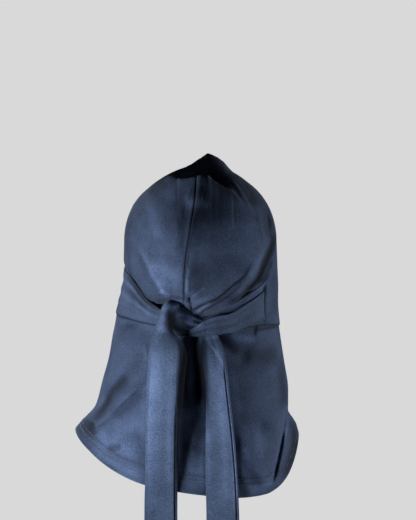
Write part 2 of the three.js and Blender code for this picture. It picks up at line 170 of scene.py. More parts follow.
def level_at(run, column):
    last = len(LEVELS) - 1
    values = np.array([getattr(level, column) for level in LEVELS], float)
    i = np.clip(np.floor(run - 1).astype(int), 0, last - 1)
    return spline(*(values[np.clip(i + k, 0, last)] for k in (-1, 0, 1, 2)), run - 1 - i)


# How late a level's height turns from that of its back or front to that of its side
SIDE_POWER = 2.6
RIGHT_BACK_POWER = 9.0


def hood_form(turn, run):
    """The plain form: turn is degrees from the back centre, run 0 the top, 1 the widest level."""
    turn, run = np.broadcast_arrays(np.asarray(turn, float), np.asarray(run, float))
    sine = np.sin(np.radians(turn))
    cosine = np.cos(np.radians(turn))
    tilt = np.clip(run, 0, 1) * math.pi / 2
    dome_x = np.sin(tilt) * sine * np.where(sine < 0, CROWN_LEFT, CROWN_RIGHT)
    dome_y = -np.sin(tilt) * cosine * np.where(cosine > 0, CROWN_BACK, CROWN_FRONT)
    dome_z = CROWN_TOP - DOME_HEIGHT * (1 - np.cos(tilt))
    below = np.maximum(run, 1)
    x = sine * np.where(sine < 0, level_at(below, "left"), level_at(below, "right"))
    y = -cosine * np.where(cosine > 0, level_at(below, "back"), level_at(below, "front"))
    right_back = (cosine > 0) & (sine > 0)
    side_share = np.abs(sine) ** np.where(right_back, RIGHT_BACK_POWER, SIDE_POWER)
    z_end = np.where(cosine > 0, level_at(below, "z_back"), level_at(below, "z_front"))
    z_side = np.where(sine < 0, level_at(below, "z_left"), level_at(below, "z_right"))
    z = z_end + (z_side - z_end) * side_share
    dome = run < 1
    return np.stack(
        [np.where(dome, dome_x, x), np.where(dome, dome_y, y), np.where(dome, dome_z, z)], -1
    )


def arc_of(run):
    run = np.asarray(run, float)
    return np.where(run < 1, run * DOME_ARC, DOME_ARC + (run - 1) * LEVEL_DROP)


def run_of(arc):
    arc = np.asarray(arc, float)
    return np.where(arc < DOME_ARC, arc / DOME_ARC, 1 + (arc - DOME_ARC) / LEVEL_DROP)


def run_at_height(turn, z):
    """The run at which the plain form passes a height, for each turn."""
    turn, z = np.broadcast_arrays(np.asarray(turn, float), np.asarray(z, float))
    high = np.zeros(turn.shape)
    low = np.full(turn.shape, HEM_RUN)
    for _ in range(30):
        middle = (high + low) / 2
        above = hood_form(turn, middle)[..., 2] > z
        high = np.where(above, middle, high)
        low = np.where(above, low, middle)
    return (high + low) / 2


# Folds of the crown and the cape, each along a smooth line of (turn, z) points.
# A round fold is a soft ridge or hollow, a crease has a sharp bottom, and a lip steps up to its
# right, seen along its line.
Fold = namedtuple("Fold", "name shape width height line")


def fold_lines(rows):
    return [Fold(name, shape, width, height, line) for name, shape, width, height, *line in rows]


CROWN_FOLDS = fold_lines([
    ("bump at seam", "round", 6, 1.8, (-13, -28), (-10, -33), (3, -36)),
    ("seam lip", "round", 2, 1.2, (-9.8, -104), (-9.3, -117), (-9.8, -129)),
    ("below the crest", "round", 2.2, 0.7, (8.5, -8.5), (17, -14), (24.5, -19), (31, -25)),
    ("right ridge, upper", "round", 5, 1, (44, -10), (43, -26), (44.5, -46)),
    ("right ridge, lower", "round", 4, 1.4, (50.5, -46), (51.5, -62), (53, -80)),
    ("right side hollow", "round", 5, -3.4, (73, -46), (69, -63), (66, -78)),
    ("gather left of seam", "lip", 2.4, 0.7, (-32, -130), (-23, -130), (-13, -131)),
    ("gather at seam", "crease", 2.2, -3.5, (-8.6, -129), (-7.8, -133), (-8.4, -137)),
    ("gather below", "crease", 2, -3, (-7.4, -138), (-6.4, -144), (-7.6, -150)),
    ("sewn end of the tie", "crease", 2.4, -3.4, (55.4, -117), (54.2, -141), (53, -170)),
])
CAPE_FOLDS = fold_lines([
    ("middle hollow", "round", 14, -3, (2, -196), (4, -250), (4, -290)),
])
# Folds seen from straight behind, along lines of (x, z)
CROWN_BACK_FOLDS = fold_lines([
    ("left bright band", "lip", 26, -1.8, (-63, -14), (-58, -34), (-53, -48), (-47, -66),
     (-41, -87), (-34, -114)),
    ("bright patch", "lip", 20, -1.6, (-64, -94), (-44, -101), (-31, -102), (-10, -99)),
    ("right of seam", "lip", 18, 1.3, (2, -22), (-1, -50), (-5, -80), (-10, -108), (-12, -128)),
    ("hollow left of seam", "lip", 14, 0.9, (-17, -36), (-18, -52), (-19, -72), (-20, -88)),
    ("panel crease", "lip", 5, -0.7, (-25, 0), (-24, -20), (-24, -40), (-22, -60)),
    ("left upper shade", "lip", 16, 0.8, (-52, -12), (-63, -34), (-69, -58), (-68, -84)),
    ("right bright ridge", "round", 17, 4, (66, -36), (60, -70), (48, -98), (34, -118)),
    ("right dark fold", "round", 5, -3.5, (66, -30), (71, -48), (73, -66)),
    ("right groove", "round", 5, -8, (86, -44), (83.6, -62), (73.4, -87.4), (66.8, -101.7),
     (59.8, -114.3), (51.3, -123.3), (41.5, -132.5), (30.8, -139.5)),
    ("right groove bank", "round", 6, 2, (73.5, -74.6), (63.1, -91.6), (53.1, -105.3),
     (41.4, -117.8), (26.4, -129.1)),
    ("second groove", "crease", 2.6, -4, (79.3, -98.9), (69.9, -115.3), (60, -124.8),
     (45.9, -131.3), (30.8, -141.9)),
    ("between grooves", "round", 2.4, 1.2, (79.1, -92.3), (70.3, -102.8), (60.1, -117.1),
     (47, -129.9), (30.8, -140.6)),
    ("fold to knot, top", "crease", 2.4, -3, (51, -99.7), (43.7, -110.3), (35.3, -117),
     (27.1, -123.9), (17.7, -131.1), (8.2, -135.9), (-0.1, -140.3), (-12, -148.1)),
    ("fold to knot, middle", "crease", 2.2, -2.6, (39.2, -120.9), (29.5, -129.1), (16.5, -137.2),
     (5.9, -143.2), (-5.6, -153.1)),
    ("fold to knot, lower", "crease", 2.2, -2.6, (41.5, -135.8), (24.8, -144.3), (13, -151.5),
     (1.9, -158.1)),
    ("fold to knot, small", "crease", 2, -1.8, (4.1, -119.2), (-4.7, -125.6), (-11.8, -130.7)),
])
CAPE_BACK_FOLDS = fold_lines([
    ("low swell", "round", 20, 6, (10, -284), (30, -287), (50, -288), (72, -282)),
    ("left valley", "round", 5, -7, (-123.8, -282.2), (-111.8, -269.6), (-104, -258.5),
     (-98, -245.9), (-88.3, -234), (-74.8, -216.3)),
    ("left ridge", "round", 3.6, 3.4, (-127.6, -283.6), (-116, -279.5), (-106.8, -273),
     (-97.9, -263.9), (-87.7, -251.6), (-72.6, -236.7), (-57.9, -223.4)),
    ("left second valley", "round", 3.2, -3.4, (-124, -286), (-112.1, -282.2), (-101.8, -273.3),
     (-91.5, -264.6), (-80, -252.7), (-67.7, -241.4), (-56.7, -231.8)),
    ("left pinch", "round", 2.4, -4, (-134.7, -279.9), (-129.9, -283), (-126, -284.1),
     (-115.6, -282.9)),
    ("hollow under the knot", "round", 8, -3.5, (7.2, -168.4), (19.2, -179.5), (30, -189.7),
     (42.1, -198.2), (57.4, -206.1)),
    ("hollow between the tails", "round", 10, -13, (-7, -154), (-7, -180), (-6.5, -205), (-6, -235),
     (-6, -264)),
    ("short crease", "round", 3, 1.6, (-62, -185), (-60, -194), (-55, -206)),
    ("dimple", "round", 4, -2.2, (-94, -169), (-84, -169), (-74, -173)),
    ("right curtain", "lip", 7, -3.6, (100, -256), (92, -284), (86, -305), (76, -332)),
    ("right slit", "crease", 2, -4.5, (92, -282), (88, -297), (83, -312), (76.5, -329)),
    ("right spread", "round", 20, 11, (84, -262), (76, -292), (60, -330)),
    ("right low ridge", "lip", 24, -2.2, (34, -262), (42, -300), (48, -345)),
])


def painted_light_lines(rows):
    """Painted highlights and painted shade behind, along lines of (x, z): the width of each line,
    then the brightness that it adds in steps of a doubling."""
    return [Fold(name, "round", width, steps, line) for name, width, steps, *line in rows]


# Painted light and shade on the crown, behind: colour made lighter where light falls on ridges, and
# darker where shade falls in creases, grooves, at seams and below the crest.
CROWN_PAINTED_LIGHT = painted_light_lines([
    ("left bright thread", 2.5, 0.5, (-68, -77), (-64, -86), (-58, -96), (-53, -109), (-46, -119),
     (-41, -128), (-36, -134)),
    ("bright patch, upper", 9.5, 0.5, (-58, -99), (-39, -102), (-18, -106)),
    ("bright patch, lower", 9.5, 0.5, (-50, -114), (-35, -117), (-18, -117)),
    ("shade right of seam", 8.5, -1, (-12, -96), (-3, -106), (-1, -116), (-10, -129)),
    ("patch right of seam", 7.5, 0.5, (-18, -86), (-7, -82), (4, -77)),
    ("bump at seam", 5.5, 1, (-19, -35), (-10, -33), (-3, -32), (4, -33), (13, -35)),
    ("crest shade, left", 3, 1, (-25, -7), (-17, -6), (-4, -3)),
    ("crest shade, right", 5, -2, (4, -1), (13, -7), (22, -14), (33, -21), (44, -32)),
    ("crest end, left", 4.5, 1, (-42, -12), (-33, -6), (-23, -4)),
    ("point", 4.5, 1, (-15, 1), (-5, 8), (7, 13), (18, 8)),
    ("right upper shade", 6.5, -1, (43, -8), (53, -19), (59, -34), (61, -44)),
    ("right edge shade", 7.5, -1.5, (60, -17), (72, -37), (76, -58), (79, -75)),
    ("right edge, lower", 5.5, -1, (80, -65), (78, -83), (71, -93), (63, -106)),
    ("right crown, left part", 15, 0.5, (18, -43), (24, -63), (28, -93)),
    ("right crown, right part", 15, 0.5, (48, -44), (46, -71), (37, -100)),
    ("left upper shade", 7.5, -1.5, (-42, -4), (-52, -16), (-57, -28)),
    ("left top", 9.5, 0.5, (-16, -10), (-27, -19), (-35, -33)),
    ("crease on the left", 1.5, -1, (-25, -3), (-25, -19), (-24, -44), (-22, -64)),
    ("left stripe", 6.5, 0.5, (-58, -32), (-49, -50), (-44, -74)),
    ("left edge shade", 7.5, -0.5, (-66, -24), (-77, -46), (-80, -76), (-82, -108)),
    ("left of seam", 6.5, -0.5, (-13, -40), (-18, -60), (-21, -85)),
    ("seam", 1.5, -1, (-3, -2), (-5, -33), (-12, -68), (-16, -92), (-17, -112), (-18, -133)),
    ("lip at knot", 3, 1, (-45, -124), (-38, -128), (-31, -131)),
    ("lip over knot", 2.5, 1, (-40, -137), (-29, -137), (-22, -139), (-15, -146)),
    ("fine crease at knot", 1.5, -0.5, (-38, -134), (-27, -132), (-15, -132)),
    ("fold 1", 1.7, -2.5, (56, -91), (51, -100), (44, -110), (35, -117), (27, -124), (18, -131),
     (8, -136), (0, -140), (-10, -146), (-23, -153)),
    ("fold 1 light", 1.5, -0.5, (52, -105), (46, -113), (37, -120), (29, -128), (18, -134),
     (3, -142)),
    ("fold 2", 1.5, -1.5, (48, -114), (39, -121), (30, -129), (16, -138), (6, -144), (-6, -153),
     (-14, -158)),
    ("fold 3", 1.5, 0.5, (52, -133), (42, -136), (25, -144), (13, -152), (2, -158), (-8, -163)),
    ("fold 0", 1.5, 1, (4, -119), (-5, -126), (-12, -131)),
    ("light at gather", 3, 0.5, (-12, -140), (-2, -135), (13, -128)),
    ("light at gather, low", 2.5, 1, (-9, -148), (0, -144), (12, -136)),
    ("groove", 3.8, -3, (86, -50), (81, -74), (74, -88), (67, -101), (60, -115), (51, -124),
     (44, -131), (32, -138), (20, -145)),
    ("groove bank", 5.5, 0.5, (72, -79), (63, -92), (53, -105), (41, -118), (26, -130)),
    ("below second groove", 2.5, 1, (77, -120), (66, -124), (52, -132), (37, -140), (20, -149)),
    ("tie line", 1.5, 0.5, (71, -120), (66, -128), (54, -135), (42, -141), (30, -148), (17, -153),
     (3, -159)),
    ("sewn end", 1.5, -2, (70, -118), (68, -135), (66, -149), (65, -167)),
    ("right side", 5.5, -0.5, (82, -102), (80, -132), (82, -166)),
    ("shade left of seam, upper", 7.5, -0.5, (-23, -3), (-24, -25), (-20, -50), (-20, -74)),
    ("right slope of point", 7.5, -1.5, (12, 14), (23, 6), (30, -2), (36, -12)),
    ("right upper fold", 3, -1.5, (45, -12), (51, -21), (55, -30), (57, -39)),
    ("right upper fold light", 1.5, -1, (35, -9), (42, -18), (49, -29), (56, -40)),
    ("right lobe", 4.5, 1, (12, -4), (22, -11), (32, -17), (37, -22)),
    ("groove outer", 2, -2, (77, -96), (76, -100), (72, -108), (68, -115), (62, -119), (58, -122)),
    ("bank near knot", 3, 1, (64, -114), (50, -127), (33, -138)),
    ("seam, low", 1.5, -1.5, (-17, -90), (-17, -104), (-17.6, -118), (-17.6, -138)),
    ("seam lip, low", 1.5, 1, (-14.6, -92), (-14.6, -105), (-15, -118), (-15.4, -130)),
]) + fold_lines([
    ("left bright line", "lip", 6.5, -0.5, (-68, -77), (-64, -86), (-58, -96), (-53, -109),
     (-46, -119), (-41, -128), (-36, -134)),
    ("gather", "crease", 1.5, -1.5, (-13, -126), (-12, -136), (-11, -143), (-12, -155)),
])
# Painted light and shade on the cape, behind: painted shadow between and beside the tails and under
# the knot, darker in its valleys and at its seams, lighter where light falls.
CAPE_PAINTED_LIGHT = painted_light_lines([
    ("hollow between tails", 7.5, 1, (-8, -174), (-8, -195), (-8, -221), (-10, -248)),
    ("hollow, right", 5.5, -3.5, (0, -178), (0, -204), (1, -231), (1, -255)),
    ("hollow, left", 4.5, -1, (-15, -187), (-16, -224), (-20, -265)),
    ("between tails, middle", 7.5, 1, (-6, -242), (-8, -270), (-12, -295)),
    ("between tails, low", 10.5, 1, (-16, -290), (-12, -313), (-6, -343)),
    ("between tails, right low", 5.5, 1, (0, -275), (1, -305), (2, -342)),
    ("between tails, left edge", 3, 1, (-21, -275), (-24, -305), (-25, -340)),
    ("lens", 3.5, -1.5, (14, -174), (21, -180), (30, -189), (42, -199)),
    ("above the lens", 5.5, 1, (27, -174), (42, -180), (62, -185)),
    ("right cape, upper", 10.5, -1, (42, -193), (62, -201), (90, -205)),
    ("right cape, edge", 6.5, -1.5, (92, -198), (92, -234), (96, -271)),
    ("right of the tail", 3.5, 0.5, (31, -208), (38, -235), (42, -266)),
    ("right low light", 13, 1, (46, -259), (54, -292), (57, -339)),
    ("beside the tail", 2, -1.5, (40, -276), (41, -306), (43, -341)),
    ("slit, left", 2.5, 1, (93, -282), (85, -305), (78, -333)),
    ("slit", 2, 1, (96, -279), (90, -301), (82, -326)),
    ("behind the curtain", 6.5, -1.5, (100, -279), (107, -299), (99, -321), (86, -339)),
    ("curtain end", 6.5, 1, (81, -331), (65, -338), (48, -340)),
    ("left valley, top", 6.5, -0.5, (-104, -258), (-98, -246), (-88, -234), (-75, -216),
     (-60, -196)),
    ("left valley", 3, -1, (-125, -282), (-118, -276), (-112, -269), (-105, -258), (-98, -246)),
    ("left second valley", 2.5, -0.5, (-124, -286), (-112, -282), (-102, -273), (-92, -265),
     (-80, -253), (-68, -242), (-57, -232)),
    ("left pinch", 2, -1.5, (-136, -279), (-130, -282), (-126, -283), (-116, -282)),
    ("left low light", 12, 1, (-121, -292), (-95, -297), (-62, -306)),
    ("left hem", 7.5, 1, (-129, -303), (-106, -314), (-76, -320), (-55, -327)),
    ("left hem edge", 4.5, -1.5, (-142, -296), (-132, -305), (-112, -315), (-85, -323)),
    ("left middle", 8.5, 0.5, (-60, -267), (-80, -276), (-102, -285)),
    ("left edge", 6.5, -0.5, (-98, -186), (-105, -217), (-113, -251)),
    ("left near tail", 4.5, 0.5, (-60, -226), (-62, -257), (-63, -298)),
    ("cape seam, left", 1.5, -1.5, (-100, -164), (-85, -164), (-75, -164), (-67, -164), (-60, -164),
     (-47, -165)),
    ("below seam, left", 3.5, -0.5, (-100, -173), (-88, -176), (-74, -170), (-60, -171)),
    ("cape seam, right", 1.5, -1.5, (53, -173), (72, -173), (91, -175)),
    ("tuck", 1.7, -3, (62, -161), (60, -171), (58, -181)),
    ("left second valley, wide", 4.5, -0.5, (-98, -274), (-88, -265), (-78, -256), (-66, -244),
     (-56, -234)),
    ("beside the pinch", 3.5, -1, (-127, -284), (-121, -286), (-115, -291)),
    ("left patch", 3.5, -1, (-104, -300), (-95, -299), (-85, -296)),
    ("under the knot", 4.5, 0.5, (-16, -175), (-8, -180), (3, -180)),
    ("right low light, near tail", 5.5, 1, (41, -286), (46, -308), (50, -344)),
    ("between, bright left", 3, -0.5, (-21, -250), (-18, -280), (-20, -315)),
    ("between, dark", 5.5, -1, (-7, -254), (-4, -280), (-2, -307)),
    ("between, right upper", 3, 1, (1, -209), (1, -238), (1, -265)),
    ("left tip", 7.5, -1.5, (-143, -296), (-134, -287), (-116, -286)),
    ("right end", 4.5, -1.5, (100, -276), (105, -292), (103, -317)),
])
# Painted light and shade on the ties: painted shadow in the knot's hole, slits and folded-back
# strips, lighter where light falls on the tails.
TIE_PAINTED_LIGHT = painted_light_lines([
    ("left groove", 4, -1.5, (-84, -112), (-75, -124), (-67, -134), (-58, -142), (-44, -147)),
    ("left groove, wide", 7.5, -0.5, (-81, -124), (-69, -137), (-56, -147), (-39, -151)),
    ("left band ridge", 2.5, 1, (-84, -122), (-75, -130), (-65, -140), (-49, -151)),
    ("left band crease", 1.5, 0.5, (-76, -138), (-69, -145), (-60, -153), (-49, -158)),
    ("loop top", 4.5, 1, (-44, -148), (-37, -142), (-29, -140), (-21, -146)),
    ("loop middle", 5.5, 1, (-37, -146), (-40, -157), (-42, -172)),
    ("hole", 4, -4, (-35, -142), (-32.5, -150), (-31.5, -160), (-28, -167), (-20, -172),
     (-8, -176)),
    ("inner band", 4.5, 2, (-31, -150), (-15, -157), (4, -163)),
    ("right band, lower edge", 2.5, 1, (-18, -174), (-1, -177), (16, -176), (42, -171), (64, -165)),
    ("right band, top", 2.5, 0.5, (-6, -163), (5, -157), (20, -152), (42, -143), (66, -132)),
    ("left tail, left edge", 1.5, -0.5, (-53, -176), (-56, -219), (-59, -272), (-60, -359)),
    ("left tail, left", 6.5, 1, (-48, -166), (-52, -198), (-56, -262), (-57, -359)),
    ("left tail, middle", 5.5, 0.5, (-42, -172), (-44, -208), (-46, -272), (-46, -359)),
    ("left tail, right", 5, 0.5, (-35, -172), (-33, -208), (-34, -272), (-33, -360)),
    ("left tail, strip edge", 1.5, 0.5, (-27, -173), (-25, -192), (-26, -240), (-28, -293),
     (-30, -360)),
    ("left tail, strip", 4.5, -1.5, (-23, -173), (-19, -190), (-22, -236), (-25, -283),
     (-27, -344)),
    ("left tail, slit", 1.5, -4, (-15, -176), (-16, -200), (-20, -242), (-23, -283), (-26, -324)),
    ("right tail, left edge", 3, -1.5, (2, -173), (3, -192), (5, -221), (6, -263)),
    ("right tail, right", 5.5, 0.5, (18, -206), (21, -241), (25, -293), (26, -359)),
    ("right tail, triangle", 3.5, 0.5, (7, -174), (15, -184), (21, -196)),
    ("right tail, slit", 1.5, 0.5, (23, -202), (26, -226), (31, -262), (34, -303), (36, -359)),
    ("right tail, strip", 2.5, 1, (22, -192), (29, -218), (34, -262), (37, -303), (38, -359)),
    ("right tail, left low", 3, 0.5, (6, -263), (7, -293), (8, -343)),
])


FOLD_ENDS = 0.25                # share of a fold's length over which it fades in and out
CREASE_SHARE = 0.55             # share of its width at which a crease has faded
LIP_SHARE = 0.22                # share of its width over which a lip steps up
BACK_FADE = 18.0                # how far behind the sides the folds of the back are whole, in mm


def fold_rise(fold, across, z, scale=1.0):
    """Height of a fold at each point; across is a turn with the scale UNROLL, or x."""
    line = curve_through([(t * scale, h) for t, h in fold.line], 8)
    starts = line[:-1]
    spans = line[1:] - starts
    lengths = np.hypot(spans[:, 0], spans[:, 1])
    before = np.concatenate([[0], np.cumsum(lengths)[:-1]])
    total = lengths.sum()
    place = np.stack([across * scale, z], -1)
    near = np.full(place.shape[:-1], np.inf)
    aside = np.zeros_like(near)
    along = np.zeros_like(near)
    for start, span, length, done in zip(starts, spans, lengths, before):
        from_start = place - start
        share = np.clip((from_start @ span) / length**2, 0, 1)
        gap = from_start - share[..., None] * span
        distance = np.hypot(gap[..., 0], gap[..., 1])
        side = np.sign(from_start[..., 0] * span[1] - from_start[..., 1] * span[0])
        closer = distance < near
        near = np.where(closer, distance, near)
        aside = np.where(closer, side * distance, aside)
        along = np.where(closer, (done + share * length) / total, along)
    if fold.shape == "round":
        profile = bell(near, fold.width)
    elif fold.shape == "crease":
        profile = np.exp(-(np.sqrt(near**2 + 0.5) - 0.7) / (CREASE_SHARE * fold.width))
    else:
        step = np.tanh(aside / (LIP_SHARE * fold.width))
        profile = step * np.exp(-((near / fold.width) ** 1.5))
    return fold.height * ends_fade(along, FOLD_ENDS) * profile


def folded(point, turn, rise, folds, back_folds):
    """The plain form, moved out by a rise and by folds, and backwards by folds of the back."""
    z = point[..., 2]
    for fold in folds:
        rise = rise + fold_rise(fold, turn, z, UNROLL)
    moved = point + radial_out(point) * rise[..., None]
    backwards = sum(fold_rise(fold, point[..., 0], z) for fold in back_folds)
    moved[..., 1] -= backwards * smooth_step(-point[..., 1] / BACK_FADE)
    return moved


# Soft pointed fold on top, in plan. The crest is its rear edge, with its rise over the plain
# dome: steep before it, long and gentle behind it. The point's ridge runs from left to right.
CrestPlace = namedtuple("CrestPlace", "x y rise")
CREST = [CrestPlace(*row) for row in (
    (-44, -16, 0), (-38, -28, 1.5), (-30, -40, 4), (-24, -54, 5.6), (-17, -63, 9), (-9, -68, 12.6),
    (0, -70, 16.2), (6.5, -70.5, 16.4), (11, -70.5, 12.6), (18, -70.5, 9.4), (25, -71, 7.9),
    (32, -69, 7), (39, -70, 5), (48, -66, 2.2), (56, -60, 0),
)]
CREST_BEFORE = 5.5
CREST_BEHIND = 26.0
RidgePlace = namedtuple("RidgePlace", "x rise")
POINT_RIDGE = [RidgePlace(*row) for row in (
    (-75, 0), (-60, -3.4), (-45, -5), (-29, -3.8), (-18, -2.2), (-10, 0.6), (-2, 5.6), (3, 9),
    (7, 12), (12, 10.8), (18, 8.8), (24, 6), (29, 1.6), (34, -1.4), (50, -2.5), (75, 0),
)]
RIDGE_Y = 5.0
RIDGE_BEHIND = 26.0
RIDGE_BEFORE = 18.0
DENT = [(-34, -22), (-14, -42), (4, -46), (20, -50), (36, -52)]
DENT_DEPTH = 5.0
DENT_WIDTH = 12.0


def plan_distance(x, y, line):
    """Distance from a line in plan, the share of the line at the nearest place, and the side."""
    points = curve_through(line, 4)
    best = np.full(x.shape, np.inf)
    along = np.zeros(x.shape)
    ahead = np.zeros(x.shape)
    count = len(points) - 1
    for i in range(count):
        ax, ay = points[i]
        bx, by = points[i + 1] - points[i]
        share = np.clip(((x - ax) * bx + (y - ay) * by) / (bx * bx + by * by), 0, 1)
        gap_x = x - ax - share * bx
        gap_y = y - ay - share * by
        distance = np.hypot(gap_x, gap_y)
        closer = distance < best
        best = np.where(closer, distance, best)
        along = np.where(closer, (i + share) / count, along)
        ahead = np.where(closer, np.sign(gap_y), ahead)
    return best, along, ahead


def top_fold_rise(x, y):
    distance, along, ahead = plan_distance(x, y, [(place.x, place.y) for place in CREST])
    rise = np.interp(along * (len(CREST) - 1), np.arange(len(CREST)), [p.rise for p in CREST])
    rise = rise * np.where(
        ahead > 0,
        np.exp(-((distance / CREST_BEFORE) ** 1.3)),
        np.exp(-((np.sqrt(distance**2 + 4) - 2) / CREST_BEHIND) ** 1.2),
    )
    reach = np.where(y < RIDGE_Y, RIDGE_BEHIND, RIDGE_BEFORE)
    rise += read_table(POINT_RIDGE, "rise", x) * bell(y - RIDGE_Y, reach)
    dent, along, _ = plan_distance(x, y, DENT)
    rise -= DENT_DEPTH * ends_fade(along, 0.4) * bell(dent, DENT_WIDTH)
    return rise


def radial_out(point):
    """Direction out of the plain form, level below the dome's widest line."""
    out = point.copy()
    out[..., 2] = np.maximum(0, point[..., 2] + DOME_HEIGHT - CROWN_TOP)
    return unit(out)


LIP_RADIUS = 8.0


def drawn_in_rise(turn, z):
    """The crown's bulge rolls in at the tie line, and the cloth below it lies deeper."""
    over = z - read_table(TIE_LINE, "z", turn)
    depth = read_table(TIE_LINE, "drawn_in", turn)
    lip = 1 - np.sqrt(1 - np.clip(1 - over / LIP_RADIUS, 0, 1) ** 2)
    return -depth * lip * smooth_step((z - DRAWN_IN_ENDS) / DRAWN_IN_FADE)


# The crown stands in a ridge along its centre seam, steeper to the right.
SEAM_RIDGE = 7.0
SEAM_RIDGE_WIDTH = 20.0
LEFT_SLOPE = 2.2                # times as wide as the right one
SEAM_RIDGE_BOTTOM = -136.0      # with the fades above it and below the top
SEAM_RIDGE_TOP = -34.0
BOTTOM_FADE = 60.0
TOP_FADE = 30.0


def seam_ridge_rise(turn, z):
    aside = (turn - read_table(SEAM_LEAN, "turn", z)) * UNROLL
    width = np.where(aside > 0, SEAM_RIDGE_WIDTH, LEFT_SLOPE * SEAM_RIDGE_WIDTH)
    high = smooth_step((z - SEAM_RIDGE_BOTTOM) / BOTTOM_FADE)
    high = high * smooth_step((SEAM_RIDGE_TOP - z) / TOP_FADE)
    return SEAM_RIDGE * high * np.exp(-np.abs(aside) / width)


def crown_surface(turn, run, folds=True):
    point = hood_form(turn, run)
    rise = drawn_in_rise(turn, point[..., 2])
    if folds:
        rise = rise + seam_ridge_rise(turn, point[..., 2])
    moved = folded(point, turn, rise, *((CROWN_FOLDS, CROWN_BACK_FOLDS) if folds else ((), ())))
    moved[..., 2] += np.where(run < 1, top_fold_rise(moved[..., 0], moved[..., 1]), 0)
    return moved


def cape_surface(turn, run):
    point = hood_form(turn, run)
    moved = folded(point, turn, drawn_in_rise(turn, point[..., 2]), CAPE_FOLDS, CAPE_BACK_FOLDS)
    low = smooth_step((run - SEAM_RUN - 2) / (HEM_RUN - SEAM_RUN - 2))
    moved[..., 2] -= read_table(HEM_DROP, "drop", turn) * low
    return moved


def face_edge(angle, side):
    """Turn and run of the face opening's edge, for an angle from its top to its bottom."""
    z = FACE_CENTRE_Z + FACE_HALF_HEIGHT * np.cos(np.radians(angle))
    x = FACE_HALF_WIDTH * np.sin(np.radians(angle))
    share = (z - CROWN_TOP + DOME_HEIGHT) / DOME_HEIGHT
    dome_half = CROWN_LEFT * np.sqrt(np.clip(1 - share**2, 0, 1))
    run = run_at_height(90.0 * side, z)
    low_half = level_at(np.maximum(run, 1), "left" if side < 0 else "right")
    half = np.where(z > LEVELS[0].z_left, dome_half, low_half)
    turn = 180 - np.degrees(np.arcsin(np.clip(x / half, 0, 1)))
    return turn * side, run_at_height(turn * side, z)


FACE_SEAM_ANGLE = math.degrees(math.acos((LEVELS[4].z_front - FACE_CENTRE_Z) / FACE_HALF_HEIGHT))


def face_corner(side):
    """Turn, without its sign, and run at which the cape's seam meets the face opening."""
    turn, run = face_edge(FACE_SEAM_ANGLE, side)
    return abs(float(turn)), float(run)


def seam_turns(corner):
    """Turns of the columns from the centre seam to the face opening, close together behind."""
    close = [0, 0.2, 0.45, 0.75, 1.1, 1.5]
    fine = np.arange(2.1, 26, 0.6)
    middle = np.arange(26.5, 100, 0.95)
    wide = np.linspace(101, corner, 20)
    return np.concatenate([close, fine, middle, wide])


def seam_run(turn, corner_turn, corner_run):
    share = np.abs(turn) / corner_turn
    return SEAM_RUN + (corner_run - SEAM_RUN) * share**8


def seam_lean(turn, corner_turn, z):
    """How far the columns lean with the centre seam: fully at the back, not at all in front."""
    fall = np.cos(np.pi / 2 * np.clip(np.abs(turn) / corner_turn, 0, 1)) ** 2
    return read_table(SEAM_LEAN, "turn", z) * fall


ROWS_ABOVE = 124                # rows above the tie line and below it, and how they crowd to it
ROWS_BELOW = 34
CLOSE_ABOVE = 1.35
CLOSE_BELOW = 1.4
TOP_CALM = 12.0                 # the centre seam doesn't roll in at the very top, in mm
EDGE_ROLL = 0.3                 # how far the lower edge rolls in, beside the centre seam's 1
FACE_COLUMNS = 26


def roll_in(distance):
    return SEAM_DEPTH * np.exp(-((distance / SEAM_ROLL) ** 1.3))


def outward_of(grid):
    """Outward direction at each point of a grid, from its neighbours."""
    return unit(np.cross(np.gradient(grid, axis=0), np.gradient(grid, axis=1)))


def add_object(name, data):
    piece = bpy.data.objects.new(name, data)
    bpy.context.scene.collection.objects.link(piece)
    return piece


def mesh_object(name, points, faces):
    mesh = bpy.data.meshes.new(name)
    mesh.from_pydata(points, [], faces)
    return add_object(name, mesh)


def grid_mesh(name, grid, uv, ring=0.0, flip=False):
    """A mesh of quads from a grid of points in mm, with its UV map in metres.
    A ring is closed at its last column, and its size is what the UV map covers round it."""
    rows, columns = grid.shape[:2]
    number = np.arange(rows * columns).reshape(rows, columns)
    if ring:
        number = np.concatenate([number, number[:, :1]], 1)
        uv = np.concatenate([uv, uv[:, :1] + [[[ring, 0]]]], 1)
    corners = [(slice(None, -1), slice(None, -1)), (slice(1, None), slice(None, -1)),
               (slice(1, None), slice(1, None)), (slice(None, -1), slice(1, None))]
    quads = np.stack([number[corner] for corner in corners], -1).reshape(-1, 4)
    spots = np.stack([uv[corner] for corner in corners], 2).reshape(-1, 4, 2)
    if flip:
        quads, spots = quads[:, ::-1], spots[:, ::-1]
    piece = mesh_object(name, (grid.reshape(-1, 3) * MM).tolist(), quads.tolist())
    layer = piece.data.uv_layers.new(name="cloth")
    layer.data.foreach_set("uv", spots.reshape(-1).astype(np.float32))
    return piece


DARKEST = 0.03
PALEST = 2.8


def give_painted_light(piece, painted_light):
    """Stores painted light and shade as a multiplier of the cloth's colour: painted highlights, and
    painted shade deep in its folds, at its seams and in its hollows.
    """
    layer = piece.data.attributes.new("painted_light", "FLOAT", "POINT")
    layer.data.foreach_set("value", np.clip(painted_light, DARKEST, PALEST).reshape(-1).astype(np.float32))


def only(piece):
    bpy.ops.object.select_all(action="DESELECT")
    bpy.context.view_layer.objects.active = piece
    piece.select_set(True)


def edit_all(piece, *edits):
    """Runs mesh operators on the whole of a piece."""
    only(piece)
    bpy.ops.object.mode_set(mode="EDIT")
    for edit, options in edits:
        bpy.ops.mesh.select_all(action="SELECT")
        edit(**options)
    bpy.ops.object.mode_set(mode="OBJECT")


FACE_OUT = (bpy.ops.mesh.normals_make_consistent, {"inside": False})


def shade_smooth(piece):
    for face in piece.data.polygons:
        face.use_smooth = True


